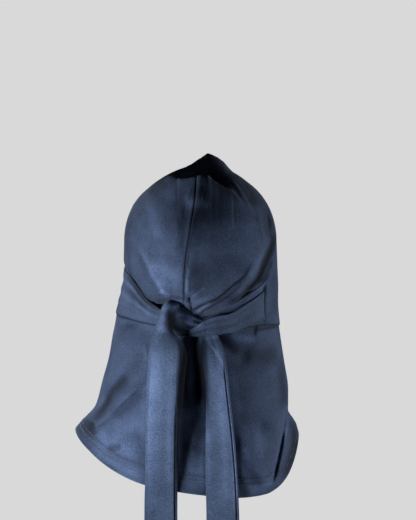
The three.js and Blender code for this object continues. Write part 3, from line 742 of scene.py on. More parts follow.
def give_wall(piece):
    wall = piece.modifiers.new("wall", "SOLIDIFY")
    wall.thickness = CLOTH * MM
    wall.offset = -1
    only(piece)
    bpy.ops.object.modifier_apply(modifier=wall.name)
    shade_smooth(piece)


def allowance(edge, way_in, aside, sink):
    """The seam allowance: in from the edge, then flat behind the other piece."""
    inner = edge + way_in * ALLOWANCE_DEPTH
    return [edge + way_in * ALLOWANCE_DEPTH * 0.5, inner,
            inner + aside * 1.2 + way_in * 0.3, inner + aside * ALLOWANCE + way_in * sink]


def with_allowance(grid, inward, turn, arcs):
    """Adds the allowance of the centre seam to a half of the crown, at both end columns."""
    across = np.array([1.0, 0, 0])
    ends = []
    for column in (0, -1):
        way_in = inward[:, column]
        aside = unit(across - way_in * (way_in @ across)[:, None])
        ends.append(allowance(grid[:, column], way_in, aside, 0.8))
    first, last = ends
    grid = np.concatenate([np.stack(first[::-1], 1), grid, np.stack(last, 1)], 1)
    turn = np.concatenate([turn[:, :1] + np.array([4.0, 2, 1, 0.5]), turn,
                           turn[:, -1:] - np.array([0.5, 1, 2, 4.0])], 1)
    arcs = np.concatenate([arcs[:, :1]] * 4 + [arcs] + [arcs[:, -1:]] * 4, 1)
    return grid, turn, arcs


PAINTED_LIGHT_FADE = 40.0                # how far behind the sides the lines of painted light and shade are whole, in mm


def painted_light_of(lines, grid):
    """Painted light and shade of the cloth from its lines, behind only."""
    x, y, z = (grid[..., k] for k in range(3))
    steps = sum((fold_rise(line, x, z) for line in lines), 0 * x)
    return np.exp2(smooth_step(-y / PAINTED_LIGHT_FADE) * steps)


# Shade at the seams, along the tie line and in deep folds, as a share of the brightness lost,
# with its reach in mm. It stays behind, within a turn to either side.
CENTRE_SEAM_SHADE = 0.55
CENTRE_SEAM_REACH = 0.8
CENTRE_SEAM_TOP = -8.0          # where its shade comes in
TIE_LINE_SHADE = 0.7
KNOT_TURN = -20
KNOT_REACH = 9.0                # reach of the tie line's shade from the knot to the left
TIE_LINE_REACH = 4.0            # and to the right of it
CROWN_EDGE_SHADE = 0.85
CROWN_EDGE_REACH = 1.1
CROWN_SHADE_TURN = 100
CAPE_EDGE_SHADE = 0.9
CAPE_EDGE_REACH = 1.2
CAPE_SEAM_TURN = 135
FOLD_SHADE = 0.6
DEEP_CROWN_FOLD = -2            # folds that are deeper are shaded
DEEP_CAPE_FOLD = -4
HEM_SHADE = 0.14
STITCH_SHADE = 0.22             # just above each row of stitches
STITCH_LIGHT = 0.12             # just below it
# How deep the stitches sit, how far the edge rounds and how far the doubled hem stands out, in mm
STITCH_GROOVE = 0.6
EDGE_ROUND = 1.0
HEM_LIFT = 0.5


def crown_shade(turn, z, arcs, end_arcs, side):
    behind = np.abs(turn) < CROWN_SHADE_TURN
    aside = np.abs(turn - read_table(SEAM_LEAN, "turn", z)) * UNROLL
    shade = CENTRE_SEAM_SHADE * np.exp(-aside / CENTRE_SEAM_REACH)
    shade = shade * smooth_step((CENTRE_SEAM_TOP - z) / 20) * behind
    over = z - read_table(TIE_LINE, "z", turn)
    drawn = np.clip(read_table(TIE_LINE, "drawn_in", turn) / 6, 0, 1)
    reach = np.where(turn < KNOT_TURN, KNOT_REACH, TIE_LINE_REACH)
    shade = np.maximum(shade, TIE_LINE_SHADE * drawn * np.exp(-np.abs(over) / reach))
    if side < 0:
        end_arcs = np.pad(end_arcs, 4, mode="edge")
    edge = CROWN_EDGE_SHADE * np.exp(-np.abs(end_arcs - arcs) / CROWN_EDGE_REACH) * behind
    shade = np.maximum(shade, edge)
    for fold in CROWN_FOLDS:
        if fold.height < DEEP_CROWN_FOLD:
            deep = FOLD_SHADE * fold_rise(fold, turn, z, UNROLL) / fold.height
            shade = np.maximum(shade, deep)
    return np.clip(1 - shade, DARKEST, 1)


def crown_half(name, side):
    corner_turn, corner_run = face_corner(side)
    turns = seam_turns(corner_turn)
    runs = seam_run(turns, corner_turn, corner_run)
    face_turns, face_runs = face_edge(np.linspace(FACE_SEAM_ANGLE, 0, FACE_COLUMNS + 1)[1:], side)
    end_turns = np.concatenate([turns, np.abs(face_turns)])
    end_runs = np.concatenate([runs, face_runs])
    path = lengths_along(hood_form(end_turns * side, end_runs))
    top_turns = 180 * path / path[-1]

    # Rows are close together at the tie line.
    end_arcs = arc_of(end_runs) - SEAM_GAP / 2
    line_turns = end_turns * side + seam_lean(end_turns, corner_turn, TIE_LINE_Z)
    line_runs = run_at_height(line_turns, read_table(TIE_LINE, "z", line_turns))
    line_arcs = np.minimum(arc_of(line_runs), 0.9 * end_arcs)
    above = 1 - (1 - np.linspace(0, 1, ROWS_ABOVE + 1)) ** CLOSE_ABOVE
    below = np.linspace(0, 1, ROWS_BELOW + 1)[1:] ** CLOSE_BELOW
    arcs = np.vstack([
        above[:, None] * line_arcs, line_arcs + below[:, None] * (end_arcs - line_arcs)
    ])
    share = arcs / end_arcs
    straight = top_turns + (end_turns - top_turns) * share**1.5
    run = run_of(arcs)
    plain_z = hood_form(straight * side, run)[..., 2]
    turn = straight * side + seam_lean(straight, corner_turn, plain_z)
    grid = crown_surface(turn, run)

    # The edges at the seams roll in.
    inward = -radial_out(hood_form(turn, run))
    from_centre = np.minimum(
        np.linalg.norm(grid - grid[:, :1], axis=-1), np.linalg.norm(grid - grid[:, -1:], axis=-1)
    )
    seam_part = np.arange(len(end_turns)) < len(turns)
    depth = roll_in(from_centre) * smooth_step(arcs / TOP_CALM)
    depth = np.maximum(depth, np.where(seam_part, EDGE_ROLL * roll_in(end_arcs - arcs), 0))
    grid = grid + inward * depth[..., None]
    grid[..., 0] += side * SEAM_GAP / 2
    if side < 0:
        grid, turn, arcs = with_allowance(grid, inward, turn, arcs)

    radius = np.hypot(grid[..., 0], grid[..., 1])
    uv = np.stack([np.radians(turn) * radius, -arcs], -1) * MM
    piece = grid_mesh(name, grid, uv, flip=side > 0)
    # Painted shade at the seams and deep folds, times the painted light and shade of the crown's
    # lines.
    painted_light = crown_shade(turn, grid[..., 2], arcs, end_arcs, side)
    give_painted_light(piece, painted_light * painted_light_of(CROWN_PAINTED_LIGHT, grid))
    edit_all(piece, (bpy.ops.mesh.remove_doubles, {"threshold": MERGE_DISTANCE * MM}))
    give_wall(piece)
    return piece


CAPE_ROWS = 88
HEM_ROWS = 40                   # rows of the hem's zone
HEM_ZONE = 24.0
FRONT_COLUMNS = 14
CAPE_RADIUS = 95.0              # for the UV map
ROLL_FADE = 6.0                 # mm below the seam, over which the cape rolls in level
FRONT_ALLOWANCE = 0.15          # share of the seam allowance that is left in front


def cape_top():
    """Turn and run of each column's top, all round, from the front centre over the left side."""
    halves = []
    for side in (-1, 1):
        corner_turn, corner_run = face_corner(side)
        turns = np.concatenate([np.arange(0, 100, 1.0), np.linspace(101, corner_turn, 20)])
        runs = seam_run(turns, corner_turn, corner_run)
        turns = turns * side + seam_lean(turns, corner_turn, CAPE_SEAM_Z)
        angles = np.linspace(FACE_SEAM_ANGLE, 180, FRONT_COLUMNS + 1)[1:]
        halves.append(np.concatenate([[turns, runs], face_edge(angles, side)], 1))
    left, right = halves
    return np.concatenate([left[:, ::-1], right[:, 1:-1]], 1)


def cape_shade(turn, grid, from_seam, from_hem):
    shade = CAPE_EDGE_SHADE * np.exp(-np.abs(from_seam) / CAPE_EDGE_REACH)
    shade = shade * (np.abs(turn) < CAPE_SEAM_TURN)
    behind = smooth_step(-grid[..., 1] / BACK_FADE)
    for fold in CAPE_BACK_FOLDS:
        if fold.height < DEEP_CAPE_FOLD:
            deep = fold_rise(fold, grid[..., 0], grid[..., 2]) / fold.height
            shade = np.maximum(shade, FOLD_SHADE * behind * deep)
    hem = HEM_SHADE * smooth_step((HEM_WIDTH + 1 - from_hem) / 2)
    for row in STITCH_ROWS:
        hem = hem + STITCH_SHADE * bell(from_hem - row - 1.7, 0.7)
        hem = hem - STITCH_LIGHT * bell(from_hem - row + 1.2, 0.7)
    return np.clip(1 - np.maximum(shade, hem), DARKEST, 1.3)


def neck_cape():
    turn, top_run = cape_top()
    top_arc = arc_of(top_run) + SEAM_GAP / 2
    share = np.linspace(0, 1, CAPE_ROWS + 1)
    share = 0.35 * share**1.5 + 0.65 * share
    hem_arc = arc_of(HEM_RUN)
    upper = top_arc + share[:, None] * (hem_arc - HEM_ZONE - top_arc)
    lower = hem_arc - HEM_ZONE * (1 - np.linspace(0, 1, HEM_ROWS + 1)[1:])
    arcs = np.concatenate([upper, np.broadcast_to(lower[:, None], (HEM_ROWS, len(turn)))])
    turns = np.broadcast_to(turn, arcs.shape)
    grid = cape_surface(turns, run_of(arcs))
    out = outward_of(np.concatenate([grid[:, -1:], grid, grid[:, :1]], 1))[:, 1:-1]
    from_seam = arcs - top_arc
    from_hem = hem_arc - arcs
    seam_part = np.abs(turn) < CAPE_SEAM_TURN
    depth = np.where(seam_part, roll_in(from_seam), 0)
    for row in STITCH_ROWS:
        depth = depth + STITCH_GROOVE * bell(from_hem - row, 0.8)
    depth = depth + EDGE_ROUND * bell(from_hem, 1.2)
    depth = depth - HEM_LIFT * smooth_step((HEM_WIDTH - from_hem) / 2)
    inward = -radial_out(hood_form(turns, run_of(arcs)))
    seam_share = smooth_step(1 - from_seam / ROLL_FADE)[..., None]
    grid = grid + (inward * seam_share - out * (1 - seam_share)) * depth[..., None]
    outer = grid
    edge, way_in = grid[0], inward[0]
    seam_only = np.where(seam_part, 1.0, FRONT_ALLOWANCE)[:, None]
    rows = allowance(edge, way_in, np.array([0, 0, 1.0]), 0.5)[::-1]
    grid = np.concatenate([np.stack([edge + (row - edge) * seam_only for row in rows]), grid])
    uv_arcs = np.concatenate([arcs[:1] - np.array([8.0, 3, 2, 1])[:, None], arcs])
    around = np.radians(turn) * CAPE_RADIUS
    uv = np.stack([np.broadcast_to(around, uv_arcs.shape), -uv_arcs], -1) * MM
    piece = grid_mesh("neck_cape_cloth", grid, uv, ring=2 * math.pi * CAPE_RADIUS * MM)
    # Painted shade at the seam, deep folds and hem, times the painted light and shade of the cape's
    # lines.
    painted_light = cape_shade(turn, grid, uv_arcs - top_arc, hem_arc - uv_arcs)
    give_painted_light(piece, painted_light * painted_light_of(CAPE_PAINTED_LIGHT, grid))
    give_wall(piece)
    return piece, hem_stitches(outer, out, from_hem)


STITCH_PITCH = 2.9
STITCH_LENGTH = 1.9
STITCH_RADIUS = 0.34


def hem_stitches(grid, out, from_hem):
    """Two rows of small stitches along the cape's hem, all in one mesh."""
    points, faces = [], []
    round_share = np.linspace(0, 2 * np.pi, 7)[:-1]
    for row in STITCH_ROWS:
        at = [np.argmin(np.abs(column - row)) for column in from_hem.T]
        columns = np.arange(grid.shape[1])
        path = grid[at, columns]
        normal = out[at, columns]
        path = np.concatenate([path, path[:1]])
        normal = np.concatenate([normal, normal[:1]])
        length = lengths_along(path)
        for start in np.arange(0, length[-1] - STITCH_PITCH, STITCH_PITCH):
            spots = start + STITCH_LENGTH * np.array([0, 0.15, 0.5, 0.85, 1])
            middle = points_at(spots, length, path)
            up = points_at(spots, length, normal)
            aside = np.cross(up, unit(middle[-1] - middle[0]))
            radii = STITCH_RADIUS * np.array([0.4, 0.9, 1, 0.9, 0.4])
            lift = np.array([-0.1, 0.15, 0.3, 0.15, -0.1])
            rings = (
                (middle + up * lift[:, None])[:, None]
                + radii[:, None, None] * (np.cos(round_share)[:, None] * up[:, None]
                                          + np.sin(round_share)[:, None] * aside[:, None])
            )
            first = len(points)
            points += rings.reshape(-1, 3).tolist()
            for i in range(4):
                for k in range(6):
                    a, b = first + 6 * i + k, first + 6 * i + (k + 1) % 6
                    faces.append((a, a + 6, b + 6, b))
            faces.append(tuple(first + k for k in range(6)))
            faces.append(tuple(first + 24 + 5 - k for k in range(6)))
    piece = mesh_object("hem_stitches", (np.array(points) * MM).tolist(), faces)
    edit_all(piece, FACE_OUT)
    shade_smooth(piece)
    return piece


# The part of each tie that lies on the crown: turn, its top and bottom heights, its lift and
# the height of its pleats
BandRow = namedtuple("BandRow", "turn z_top z_bottom lift pleats")
LEFT_BAND = [BandRow(*row) for row in (
    (-99, -112, -150, 0.3, 0),
    (-84, -114, -151, 0.3, 0.8),
    (-70, -119, -153, 0.8, 1.4),
    (-57, -129, -155, 1, 1.3),
    (-45, -140, -157.5, 0.9, 0.8),
)]
RIGHT_BAND = [BandRow(*row) for row in (
    (53, -131, -163, 0.6, 0),
    (43, -137, -165, 1, 0.1),
    (32, -144, -168, 1.8, 0.3),
    (22, -150.5, -171.5, 3, 0.4),
)]
# The rest of each tie, through the knot and down. Each row has the centre of its face, the
# direction across it and its width, then the width of the edge folded back beyond the face,
# how far the face bulges, how far it turns up towards that edge, the height of its pleats, and
# how deep the slit is between the face and that edge.
RunRow = namedtuple(
    "RunRow", "x y z across_x across_y across_z width edge bulge turned pleats slit"
)
LEFT_RUN = [RunRow(*row) for row in (
    (-47, -76, -153, 0, 0, 1, 14, 0, 0.5, 0, 0.3, 0),
    (-36, -82.5, -158, 0, 0, 1, 13, 0, 1.5, 0, 0.5, 0),
    (-24, -84, -157, 0, 0.06, 1, 25, 0, 2.4, 0, 0.4, 0),
    (-11, -82.5, -160, 0, 0.04, 1, 19.5, 0, 2.8, 0, 0.4, 0),
    (0, -79, -164, 0.5, 0, 0.87, 15, 0, 2, 0, 0.4, 0),
    (5, -79.5, -170, 0.87, 0, 0.5, 16, 0, 0.8, 0, 0.3, 0),
    (9, -81, -177.5, 1, 0, 0, 17.2, 0, 0.5, 0, 0.2, 0),
    (11, -83.6, -185, 1, 0, 0, 20.6, 1.5, 0.3, 0.3, 0.2, 0),
    (12.2, -87.3, -195, 1, -0.1, 0, 22.3, 2.7, 0, 0.8, 0.1, 0),
    (13.2, -90.2, -205.5, 1, -0.12, 0, 21.9, 3.2, 0, 1.2, 0.1, 0),
    (15.1, -94, -219, 1, -0.12, 0, 21.5, 3.1, 0, 1.6, 0, 0.8),
    (16.4, -97.7, -234.5, 1, -0.12, 0, 22.5, 2.9, 0, 1.8, 0, 1),
    (17.4, -101.4, -252, 1, -0.12, 0, 24.6, 3, 0, 1.8, 0, 1),
    (18.6, -106.9, -276, 1, -0.12, 0, 27.7, 2.8, 0, 1.6, 0, 1),
    (19.3, -111.5, -293.5, 1, -0.1, 0, 29.3, 2.8, 0, 1.4, 0, 1),
    (20, -117.8, -312.5, 1, -0.08, 0, 31, 2.7, 0, 1.2, 0, 1),
    (20.9, -127.1, -338, 1, -0.03, 0, 31.6, 2.8, 0, 1, 0, 1),
    (21.6, -130, -365, 1, 0, 0, 32, 2.8, 0, 0.8, 0, 1),
    (21.6, -130.5, -404.5, 1, 0, 0, 32, 2.8, 0, 0.8, 0, 1),
)]
RIGHT_RUN = [RunRow(*row) for row in (
    (17, -86.5, -163.6, 0, 0, 1, 19, 0, 0.5, 0, 0.2, 0),
    (5, -88, -165.8, 0.1, 0, 1, 16.5, 0, 0.8, 0, 0.4, 0),
    (-8, -88.5, -170.3, 0.15, 0, 1, 9, 0, 1, 0, 0.4, 0),
    (-17, -86, -172.8, 0.25, 0, 0.95, 5, 0, 0.6, 0, 0.2, 0),
    (-27, -79, -172, 0.75, -0.2, 0.65, 7, 0, 0.3, 0, 0.1, 0),
    (-32, -76, -162, 1, -0.4, 0.1, 11, 0, 0, 0, 0, 0),
    (-32, -76.5, -152, 1, -0.45, 0.1, 14, 0, 0.4, 0, 0, 0),
    (-31.8, -79.5, -144.5, 1, -0.45, 0.2, 16, 0, 1.5, 0, 0, 0),
    (-32.4, -86, -140.3, 1, -0.35, 0.3, 17.5, 0, 3.4, 0, 0, 0),
    (-34.6, -92.5, -143.4, 1, -0.2, 0.35, 17.5, 0, 4.4, 0, 0, 0),
    (-37.6, -95.5, -151.5, 1, -0.1, 0.25, 17, 0, 4.4, 0, 0, 0),
    (-40, -97, -160, 1, 0, 0.1, 17, 0.5, 3.8, 0, 0, 0),
    (-41.2, -98, -168, 1, 0, 0, 19.5, 2, 2.6, 0.2, 0, 0),
    (-41.2, -99, -177, 1, 0, 0, 25.5, 6, 1.6, 0.8, 0, 0),
    (-40.6, -100, -188, 1, 0, 0, 29.8, 9.4, 1.2, 1.4, 0, 0),
    (-41.1, -101, -200, 1, 0, 0, 31, 10, 1, 2, 0, 0),
    (-42, -102.5, -219, 1, 0, 0, 31.3, 8.6, 0.8, 2, 0, 0),
    (-42.9, -104.5, -240, 1, 0, 0, 31.4, 7, 0.6, 1.6, 0, 0),
    (-43.6, -108.3, -270, 1, 0, 0, 31.6, 3.8, 0.4, 1.2, 0, 0.7),
    (-43.7, -113, -294, 1, 0.03, 0, 31.4, 3.3, 0, 0.8, 0, 1),
    (-43.8, -120, -319, 1, 0.08, 0, 31.1, 3.3, 0, 0.6, 0, 1),
    (-44.3, -127, -345, 1, 0.14, 0, 31.8, 3.5, 0, 0.5, 0, 1),
    (-44.6, -128, -404.5, 1, 0.16, 0, 32, 3.6, 0, 0.5, 0, 1),
)]
LEFT_TIE_FOLDS = fold_lines([
    ("diagonal crease", "lip", 6, -0.7, (3, -176), (7, -181), (15, -191), (25, -206)),
])
KNOTS_ACROSS = 5
TIE_STEPS = 12                  # fine rows between two rows of the tables
LEAST_EDGE = 1.6
SLIT_DEPTH = 1.6
SLIT_WIDTH = 0.5
TIE_FOLDS_TOP = -174            # the ties' folds are on their tails only
PLEAT_WAVES = 2.3               # across a tie's face
PLEAT_SHIFT = 0.2
TIE_EDGE_SHADE = 0.6
SLIT_SHADE = 1.2
STRIP_SHADE = 0.75              # on the edge that is folded back


def tie_rows(band, run):
    """Rows of five points across the tie's face, from its sewn end to its free end."""
    rows = []
    for row in band:
        z = np.linspace(row.z_bottom, row.z_top, KNOTS_ACROSS)
        runs = run_at_height(row.turn, z)
        grid = np.stack([crown_surface(np.full(KNOTS_ACROSS, row.turn + d), runs, False)
                         for d in (-1.5, 0, 1.5)], 1)
        out = unit(np.cross(np.gradient(grid[:, 1], axis=0), grid[:, 2] - grid[:, 0]))
        out *= np.sign((out * radial_out(grid[:, 1])).sum(1, keepdims=True))
        rows.append(grid[:, 1] + out * (row.lift + TIE_CLOTH / 2))
    for row in run:
        across = unit(np.array([row.across_x, row.across_y, row.across_z], float))
        shares = np.linspace(-0.5, 0.5, KNOTS_ACROSS)[:, None]
        rows.append(np.array([row.x, row.y, row.z]) + shares * row.width * across)
    return np.array(rows)


def tie(name, band, run, folds=()):
    coarse = tie_rows(band, run)
    along = np.stack([curve_through(coarse[:, k], TIE_STEPS) for k in range(KNOTS_ACROSS)], 1)
    shapes = [[0.0, 0.3, 0.0, row.pleats, 0.0] for row in band]
    shapes += [[row.edge, row.bulge, row.turned, row.pleats, row.slit] for row in run]
    shapes = curve_through(shapes, TIE_STEPS)

    # Both ends are rounded over.
    first, last = unit(along[0] - along[1]), unit(along[-1] - along[-2])
    along = np.concatenate([[along[0] + first * 0.9, along[0] + first * 0.7], along,
                            [along[-1] + last * 0.7, along[-1] + last * 0.9]])
    shapes = np.concatenate([shapes[:1], shapes[:1], shapes, shapes[-1:], shapes[-1:]])
    fullness = np.ones(len(along))
    fullness[[0, -1]] = 0.25
    fullness[[1, -2]] = 0.7

    middles, offsets, halves, places, shades = [], [], [], [], []
    for row, (edge, bulge, turned, pleats, open_slit) in zip(along, shapes):
        fine = curve_through(row, 8)
        reach = lengths_along(fine)
        width = reach[-1]
        slit = SLIT_DEPTH * open_slit
        edge = max(edge, LEAST_EDGE)
        at = np.concatenate([
            [0, 0.12, 0.4, 0.8, 1.4], np.linspace(2.2, width - 2.0, 26),
            width + np.array([-1.5, -1.1, -0.75, -0.5, -0.25, 0, 0.25, 0.5, 0.75]),
            np.linspace(width + 0.95, width + edge - 0.5, 6),
            width + edge - np.array([0.3, 0.1, 0]),
        ])
        beyond = np.maximum(at - width, 0)
        middle = points_at(at, reach, fine) + unit(fine[-1] - fine[-2]) * beyond[:, None]
        share = np.clip(at / width, 0, 1)
        offset = bulge * np.sin(np.pi * share) + turned * share**2
        wave = np.sin(2 * np.pi * (PLEAT_WAVES * share + PLEAT_SHIFT))
        offset += pleats * wave * np.sin(np.pi * share)
        offset -= smooth_step((edge - 2) / 2) * (0.5 + 0.12 * edge) * beyond
        from_edge = np.minimum(at, width + edge - at)
        rim = np.clip(from_edge / (TIE_CLOTH / 2), 0, 1)
        half = TIE_CLOTH / 2 * np.sqrt(1 - (1 - rim) ** 2 * 0.98)
        middles.append(middle)
        offsets.append(offset)
        halves.append((half, slit * bell(at - width, SLIT_WIDTH)))
        places.append(at)
        shade = TIE_EDGE_SHADE * np.exp(-from_edge / 1.0)
        shade = shade + SLIT_SHADE * open_slit * bell(at - width, SLIT_WIDTH)
        strip = smooth_step((edge - 4) / 3) * STRIP_SHADE * smooth_step((at - width) / 1.5)
        shades.append(np.maximum(shade, strip))
    middle, offset, at = np.array(middles), np.array(offsets), np.array(places)
    half = np.array([h for h, _ in halves]) * fullness[:, None]
    groove = np.array([g for _, g in halves])
    out = outward_of(middle)
    middle = middle + out * offset[..., None]
    for fold in folds:
        rise = fold_rise(fold, middle[..., 0], middle[..., 2])
        middle[..., 1] -= rise * (middle[..., 2] < TIE_FOLDS_TOP)
    out = outward_of(middle)
    front = middle + out * (half - groove)[..., None]
    back = middle - out * half[..., None]
    section = np.concatenate([front, back[:, -2:0:-1]], 1)
    length = lengths_along(middle[:, 20])
    total = 2 * at[:, -1:] + 1
    section_u = np.concatenate([at, total - at[:, -2:0:-1]], 1)
    section_v = np.broadcast_to(-length[:, None], section_u.shape)
    uv = np.stack([section_u, section_v], -1) * MM
    piece = grid_mesh(name, section, uv, ring=float(total.mean()) * MM)
    # Painted shade at the tie's edges, slit and folded-back strip, times the painted light and
    # shade of its lines.
    painted_light = 1 - np.clip(np.array(shades), 0, 0.97)
    painted_light = painted_light * painted_light_of(TIE_PAINTED_LIGHT, front)
    give_painted_light(piece, np.concatenate([painted_light, painted_light[:, -2:0:-1]], 1))
    edit_all(piece, (bpy.ops.mesh.fill_holes, {"sides": 0}), FACE_OUT)
    shade_smooth(piece)
    return piece


# Materials
def new_group(name, inputs, outputs):
    group = bpy.data.node_groups.new(name, "ShaderNodeTree")
    for label, kind, value in inputs:
        socket = group.interface.new_socket(label, in_out="INPUT", socket_type=kind)
        if value is not None:
            socket.default_value = value
    for label, kind in outputs:
        group.interface.new_socket(label, in_out="OUTPUT", socket_type=kind)
    return group, group.nodes.new("NodeGroupInput"), group.nodes.new("NodeGroupOutput")


def add_node(tree, kind, inputs, **settings):
    """A shader node; each input is given a value or linked to another node's output."""
    node = tree.nodes.new(kind)
    for label, value in settings.items():
        setattr(node, label, value)
    for label, value in inputs.items():
        if isinstance(value, bpy.types.NodeSocket):
            tree.links.new(value, node.inputs[label])
        else:
            node.inputs[label].default_value = value
    return node


def math_node(tree, operation, *values):
    node = add_node(tree, "ShaderNodeMath", dict(enumerate(values)), operation=operation)
    return node.outputs[0]


def weighted(tree, *pairs):
    """The sum of some values, each times its weight."""
    parts = [math_node(tree, "MULTIPLY", value, weight) for value, weight in pairs]
    total = parts[0]
    for part in parts[1:]:
        total = math_node(tree, "ADD", total, part)
    return total


def between(tree, value, low, high, low_result=0.0, high_result=1.0):
    inputs = {"Value": value, "From Min": low, "From Max": high, "To Min": low_result,
              "To Max": high_result}
    node = add_node(tree, "ShaderNodeMapRange", inputs, interpolation_type="SMOOTHSTEP")
    return node.outputs["Result"]


def mix_color(tree, share, first, second):
    node = add_node(tree, "ShaderNodeMix", {0: share, 6: first, 7: second}, data_type="RGBA")
    return node.outputs[2]


def knit_group():
    """Columns of small V stitches, from the cloth's UV map."""
    group, given, made = new_group(
        "jersey_knit",
        [("Vector", "NodeSocketVector", None), ("Wale", "NodeSocketFloat", 0.0009),
         ("Course", "NodeSocketFloat", 0.0007)],
        [("Height", "NodeSocketFloat")],
    )

    def math_of(operation, *values):
        return math_node(group, operation, *values)

    split = add_node(group, "ShaderNodeSeparateXYZ", {0: given.outputs["Vector"]})
    column = math_of("DIVIDE", split.outputs["X"], given.outputs["Wale"])
    row = math_of("DIVIDE", split.outputs["Y"], given.outputs["Course"])
    aside = math_of("ABSOLUTE", math_of("SUBTRACT", math_of("FRACT", column), 0.5))
    slanted = math_of("ADD", row, math_of("MULTIPLY", aside, 1.1))
    loop = math_of("COSINE", math_of("MULTIPLY", slanted, 2 * math.pi))
    rib = math_of("COSINE", math_of("MULTIPLY", aside, 2 * math.pi))
    total = weighted(group, (loop, 0.25), (rib, -0.25))
    group.links.new(math_of("ADD", total, 0.5), made.inputs["Height"])
    return group


def wear_group():
    """Soft clouds of lighter cloth, fine grain and sparse lint, from object coordinates."""
    group, given, made = new_group(
        "cloth_wear",
        [("Vector", "NodeSocketVector", None)],
        [("Cloud", "NodeSocketFloat"), ("Grain", "NodeSocketFloat"), ("Lint", "NodeSocketFloat")],
    )
    place = given.outputs["Vector"]

    def noise(scale, detail, rough, low, high):
        inputs = {"Scale": scale, "Detail": detail, "Roughness": rough, "Vector": place}
        node = add_node(group, "ShaderNodeTexNoise", inputs)
        return between(group, node.outputs["Fac"], low, high)

    cloud = noise(scale=38, detail=4, rough=0.6, low=0.3, high=0.7)
    grain = noise(scale=1000, detail=2, rough=0.6, low=0.28, high=0.72)
    group.links.new(cloud, made.inputs["Cloud"])
    group.links.new(grain, made.inputs["Grain"])
    cells = add_node(group, "ShaderNodeTexVoronoi", {"Scale": 260, "Vector": place})
    dot = between(group, cells.outputs["Distance"], low=0.13, high=0.05)
    rare = noise(scale=90, detail=1, rough=0.5, low=0.6, high=0.68)
    group.links.new(math_node(group, "MULTIPLY", dot, rare), made.inputs["Lint"])
    return group


KNIT = knit_group()
WEAR = wear_group()


def new_material(name, settings):
    """A Principled material: itself, its node tree, its shader and its texture coordinates."""
    material = bpy.data.materials.new(name)
    material.use_nodes = True
    tree = material.node_tree
    shader = tree.nodes["Principled BSDF"]
    for label, value in settings.items():
        shader.inputs[label].default_value = value
    return material, tree, shader, tree.nodes.new("ShaderNodeTexCoord")


def finish_shader(tree, shader, color, height, strength, distance):
    tree.links.new(color, shader.inputs["Base Color"])
    inputs = {"Strength": strength, "Distance": distance, "Height": height}
    bump = add_node(tree, "ShaderNodeBump", inputs)
    tree.links.new(bump.outputs["Normal"], shader.inputs["Normal"])


# Shares of the light cloth that clouds, grain and the knit bring, and of lint's color in a speck
CLOUD_SHARE = 0.3
GRAIN_SHARE = 0.75
KNIT_SHARE = 0.15
LINT_SHARE = 0.6
GRAIN_HEIGHT = 1.2              # times the height of a stitch


def jersey(name, dark, light, lint, below=None):
    """Navy jersey; below says where a tie hangs free, and how much brighter it is there."""
    material, tree, shader, place = new_material(name, {
        "Roughness": 0.88, "Specular IOR Level": 0.12, "Sheen Weight": 0.12,
        "Sheen Roughness": 0.5, "Sheen Tint": (0.55, 0.66, 0.9, 1),
    })
    inputs = {"Vector": place.outputs["Object"]}
    wear = add_node(tree, "ShaderNodeGroup", inputs, node_tree=WEAR).outputs
    inputs = {"Vector": place.outputs["UV"]}
    knit = add_node(tree, "ShaderNodeGroup", inputs, node_tree=KNIT).outputs["Height"]
    share = weighted(tree, (wear["Cloud"], CLOUD_SHARE), (wear["Grain"], GRAIN_SHARE),
                     (knit, KNIT_SHARE))
    cloth = mix_color(tree, share, dark, light)
    linted = mix_color(tree, math_node(tree, "MULTIPLY", wear["Lint"], LINT_SHARE), cloth, lint)
    # The painted light and shade stored on each piece scales the cloth's colour.
    value = add_node(tree, "ShaderNodeAttribute", {}, attribute_name="painted_light").outputs["Fac"]
    if below:
        apart = add_node(tree, "ShaderNodeSeparateXYZ", {0: place.outputs["Object"]})
        lower = between(tree, apart.outputs["Z"], *below)
        value = math_node(tree, "MULTIPLY", value, lower)
    painted_light_node = add_node(tree, "ShaderNodeHueSaturation", {"Color": linted, "Value": value})
    grain = math_node(tree, "MULTIPLY", wear["Grain"], GRAIN_HEIGHT)
    height = math_node(tree, "ADD", knit, grain)
    color = painted_light_node.outputs["Color"]
    finish_shader(tree, shader, color, height, strength=0.6, distance=0.12 * MM)
    return material


def thread(name, color, light):
    """Sewing thread with a fine twist."""
    material, tree, shader, place = new_material(
        name, {"Roughness": 0.6, "Specular IOR Level": 0.3})
    inputs = {"Scale": 1500, "Vector": place.outputs["Object"]}
    twist = add_node(tree, "ShaderNodeTexNoise", inputs).outputs["Fac"]
    mixed = mix_color(tree, twist, color, light)
    finish_shader(tree, shader, mixed, twist, strength=0.5, distance=0.1 * MM)
    return material


JERSEY = jersey(
    "jersey", dark=(0.0136, 0.0217, 0.044, 1), light=(0.0572, 0.086, 0.162, 1),
    lint=(0.175, 0.235, 0.37, 1))
TIE_JERSEY = jersey(
    "tie_jersey", dark=(0.0158, 0.025, 0.0485, 1), light=(0.0655, 0.098, 0.178, 1),
    lint=(0.22, 0.29, 0.43, 1), below=(-0.150, -0.205, 1.0, 1.6))
THREAD = thread("thread", color=(0.08, 0.11, 0.17, 1), light=(0.17, 0.22, 0.31, 1))


def finish_piece(piece, node, material):
    piece.data.materials.clear()
    piece.data.materials.append(material)
    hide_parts(node)
    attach(piece, "root")
    return piece


def make_camera():
    data = bpy.data.cameras.new("camera")
    data.sensor_width = SENSOR
    data.lens = SENSOR * CAMERA_DISTANCE / PICTURE_HEIGHT
    data.clip_start = 0.05
    data.clip_end = 100
    camera = add_object("camera", data)
    look = Vector((0, math.cos(CAMERA_ELEVATION), -math.sin(CAMERA_ELEVATION)))
    camera.location = CAMERA_TARGET - look * CAMERA_DISTANCE
    camera.rotation_euler = look.to_track_quat("-Z", "Y").to_euler()
    bpy.context.scene.camera = camera


LIGHTS_AIM = Vector((0, 0, -0.17))
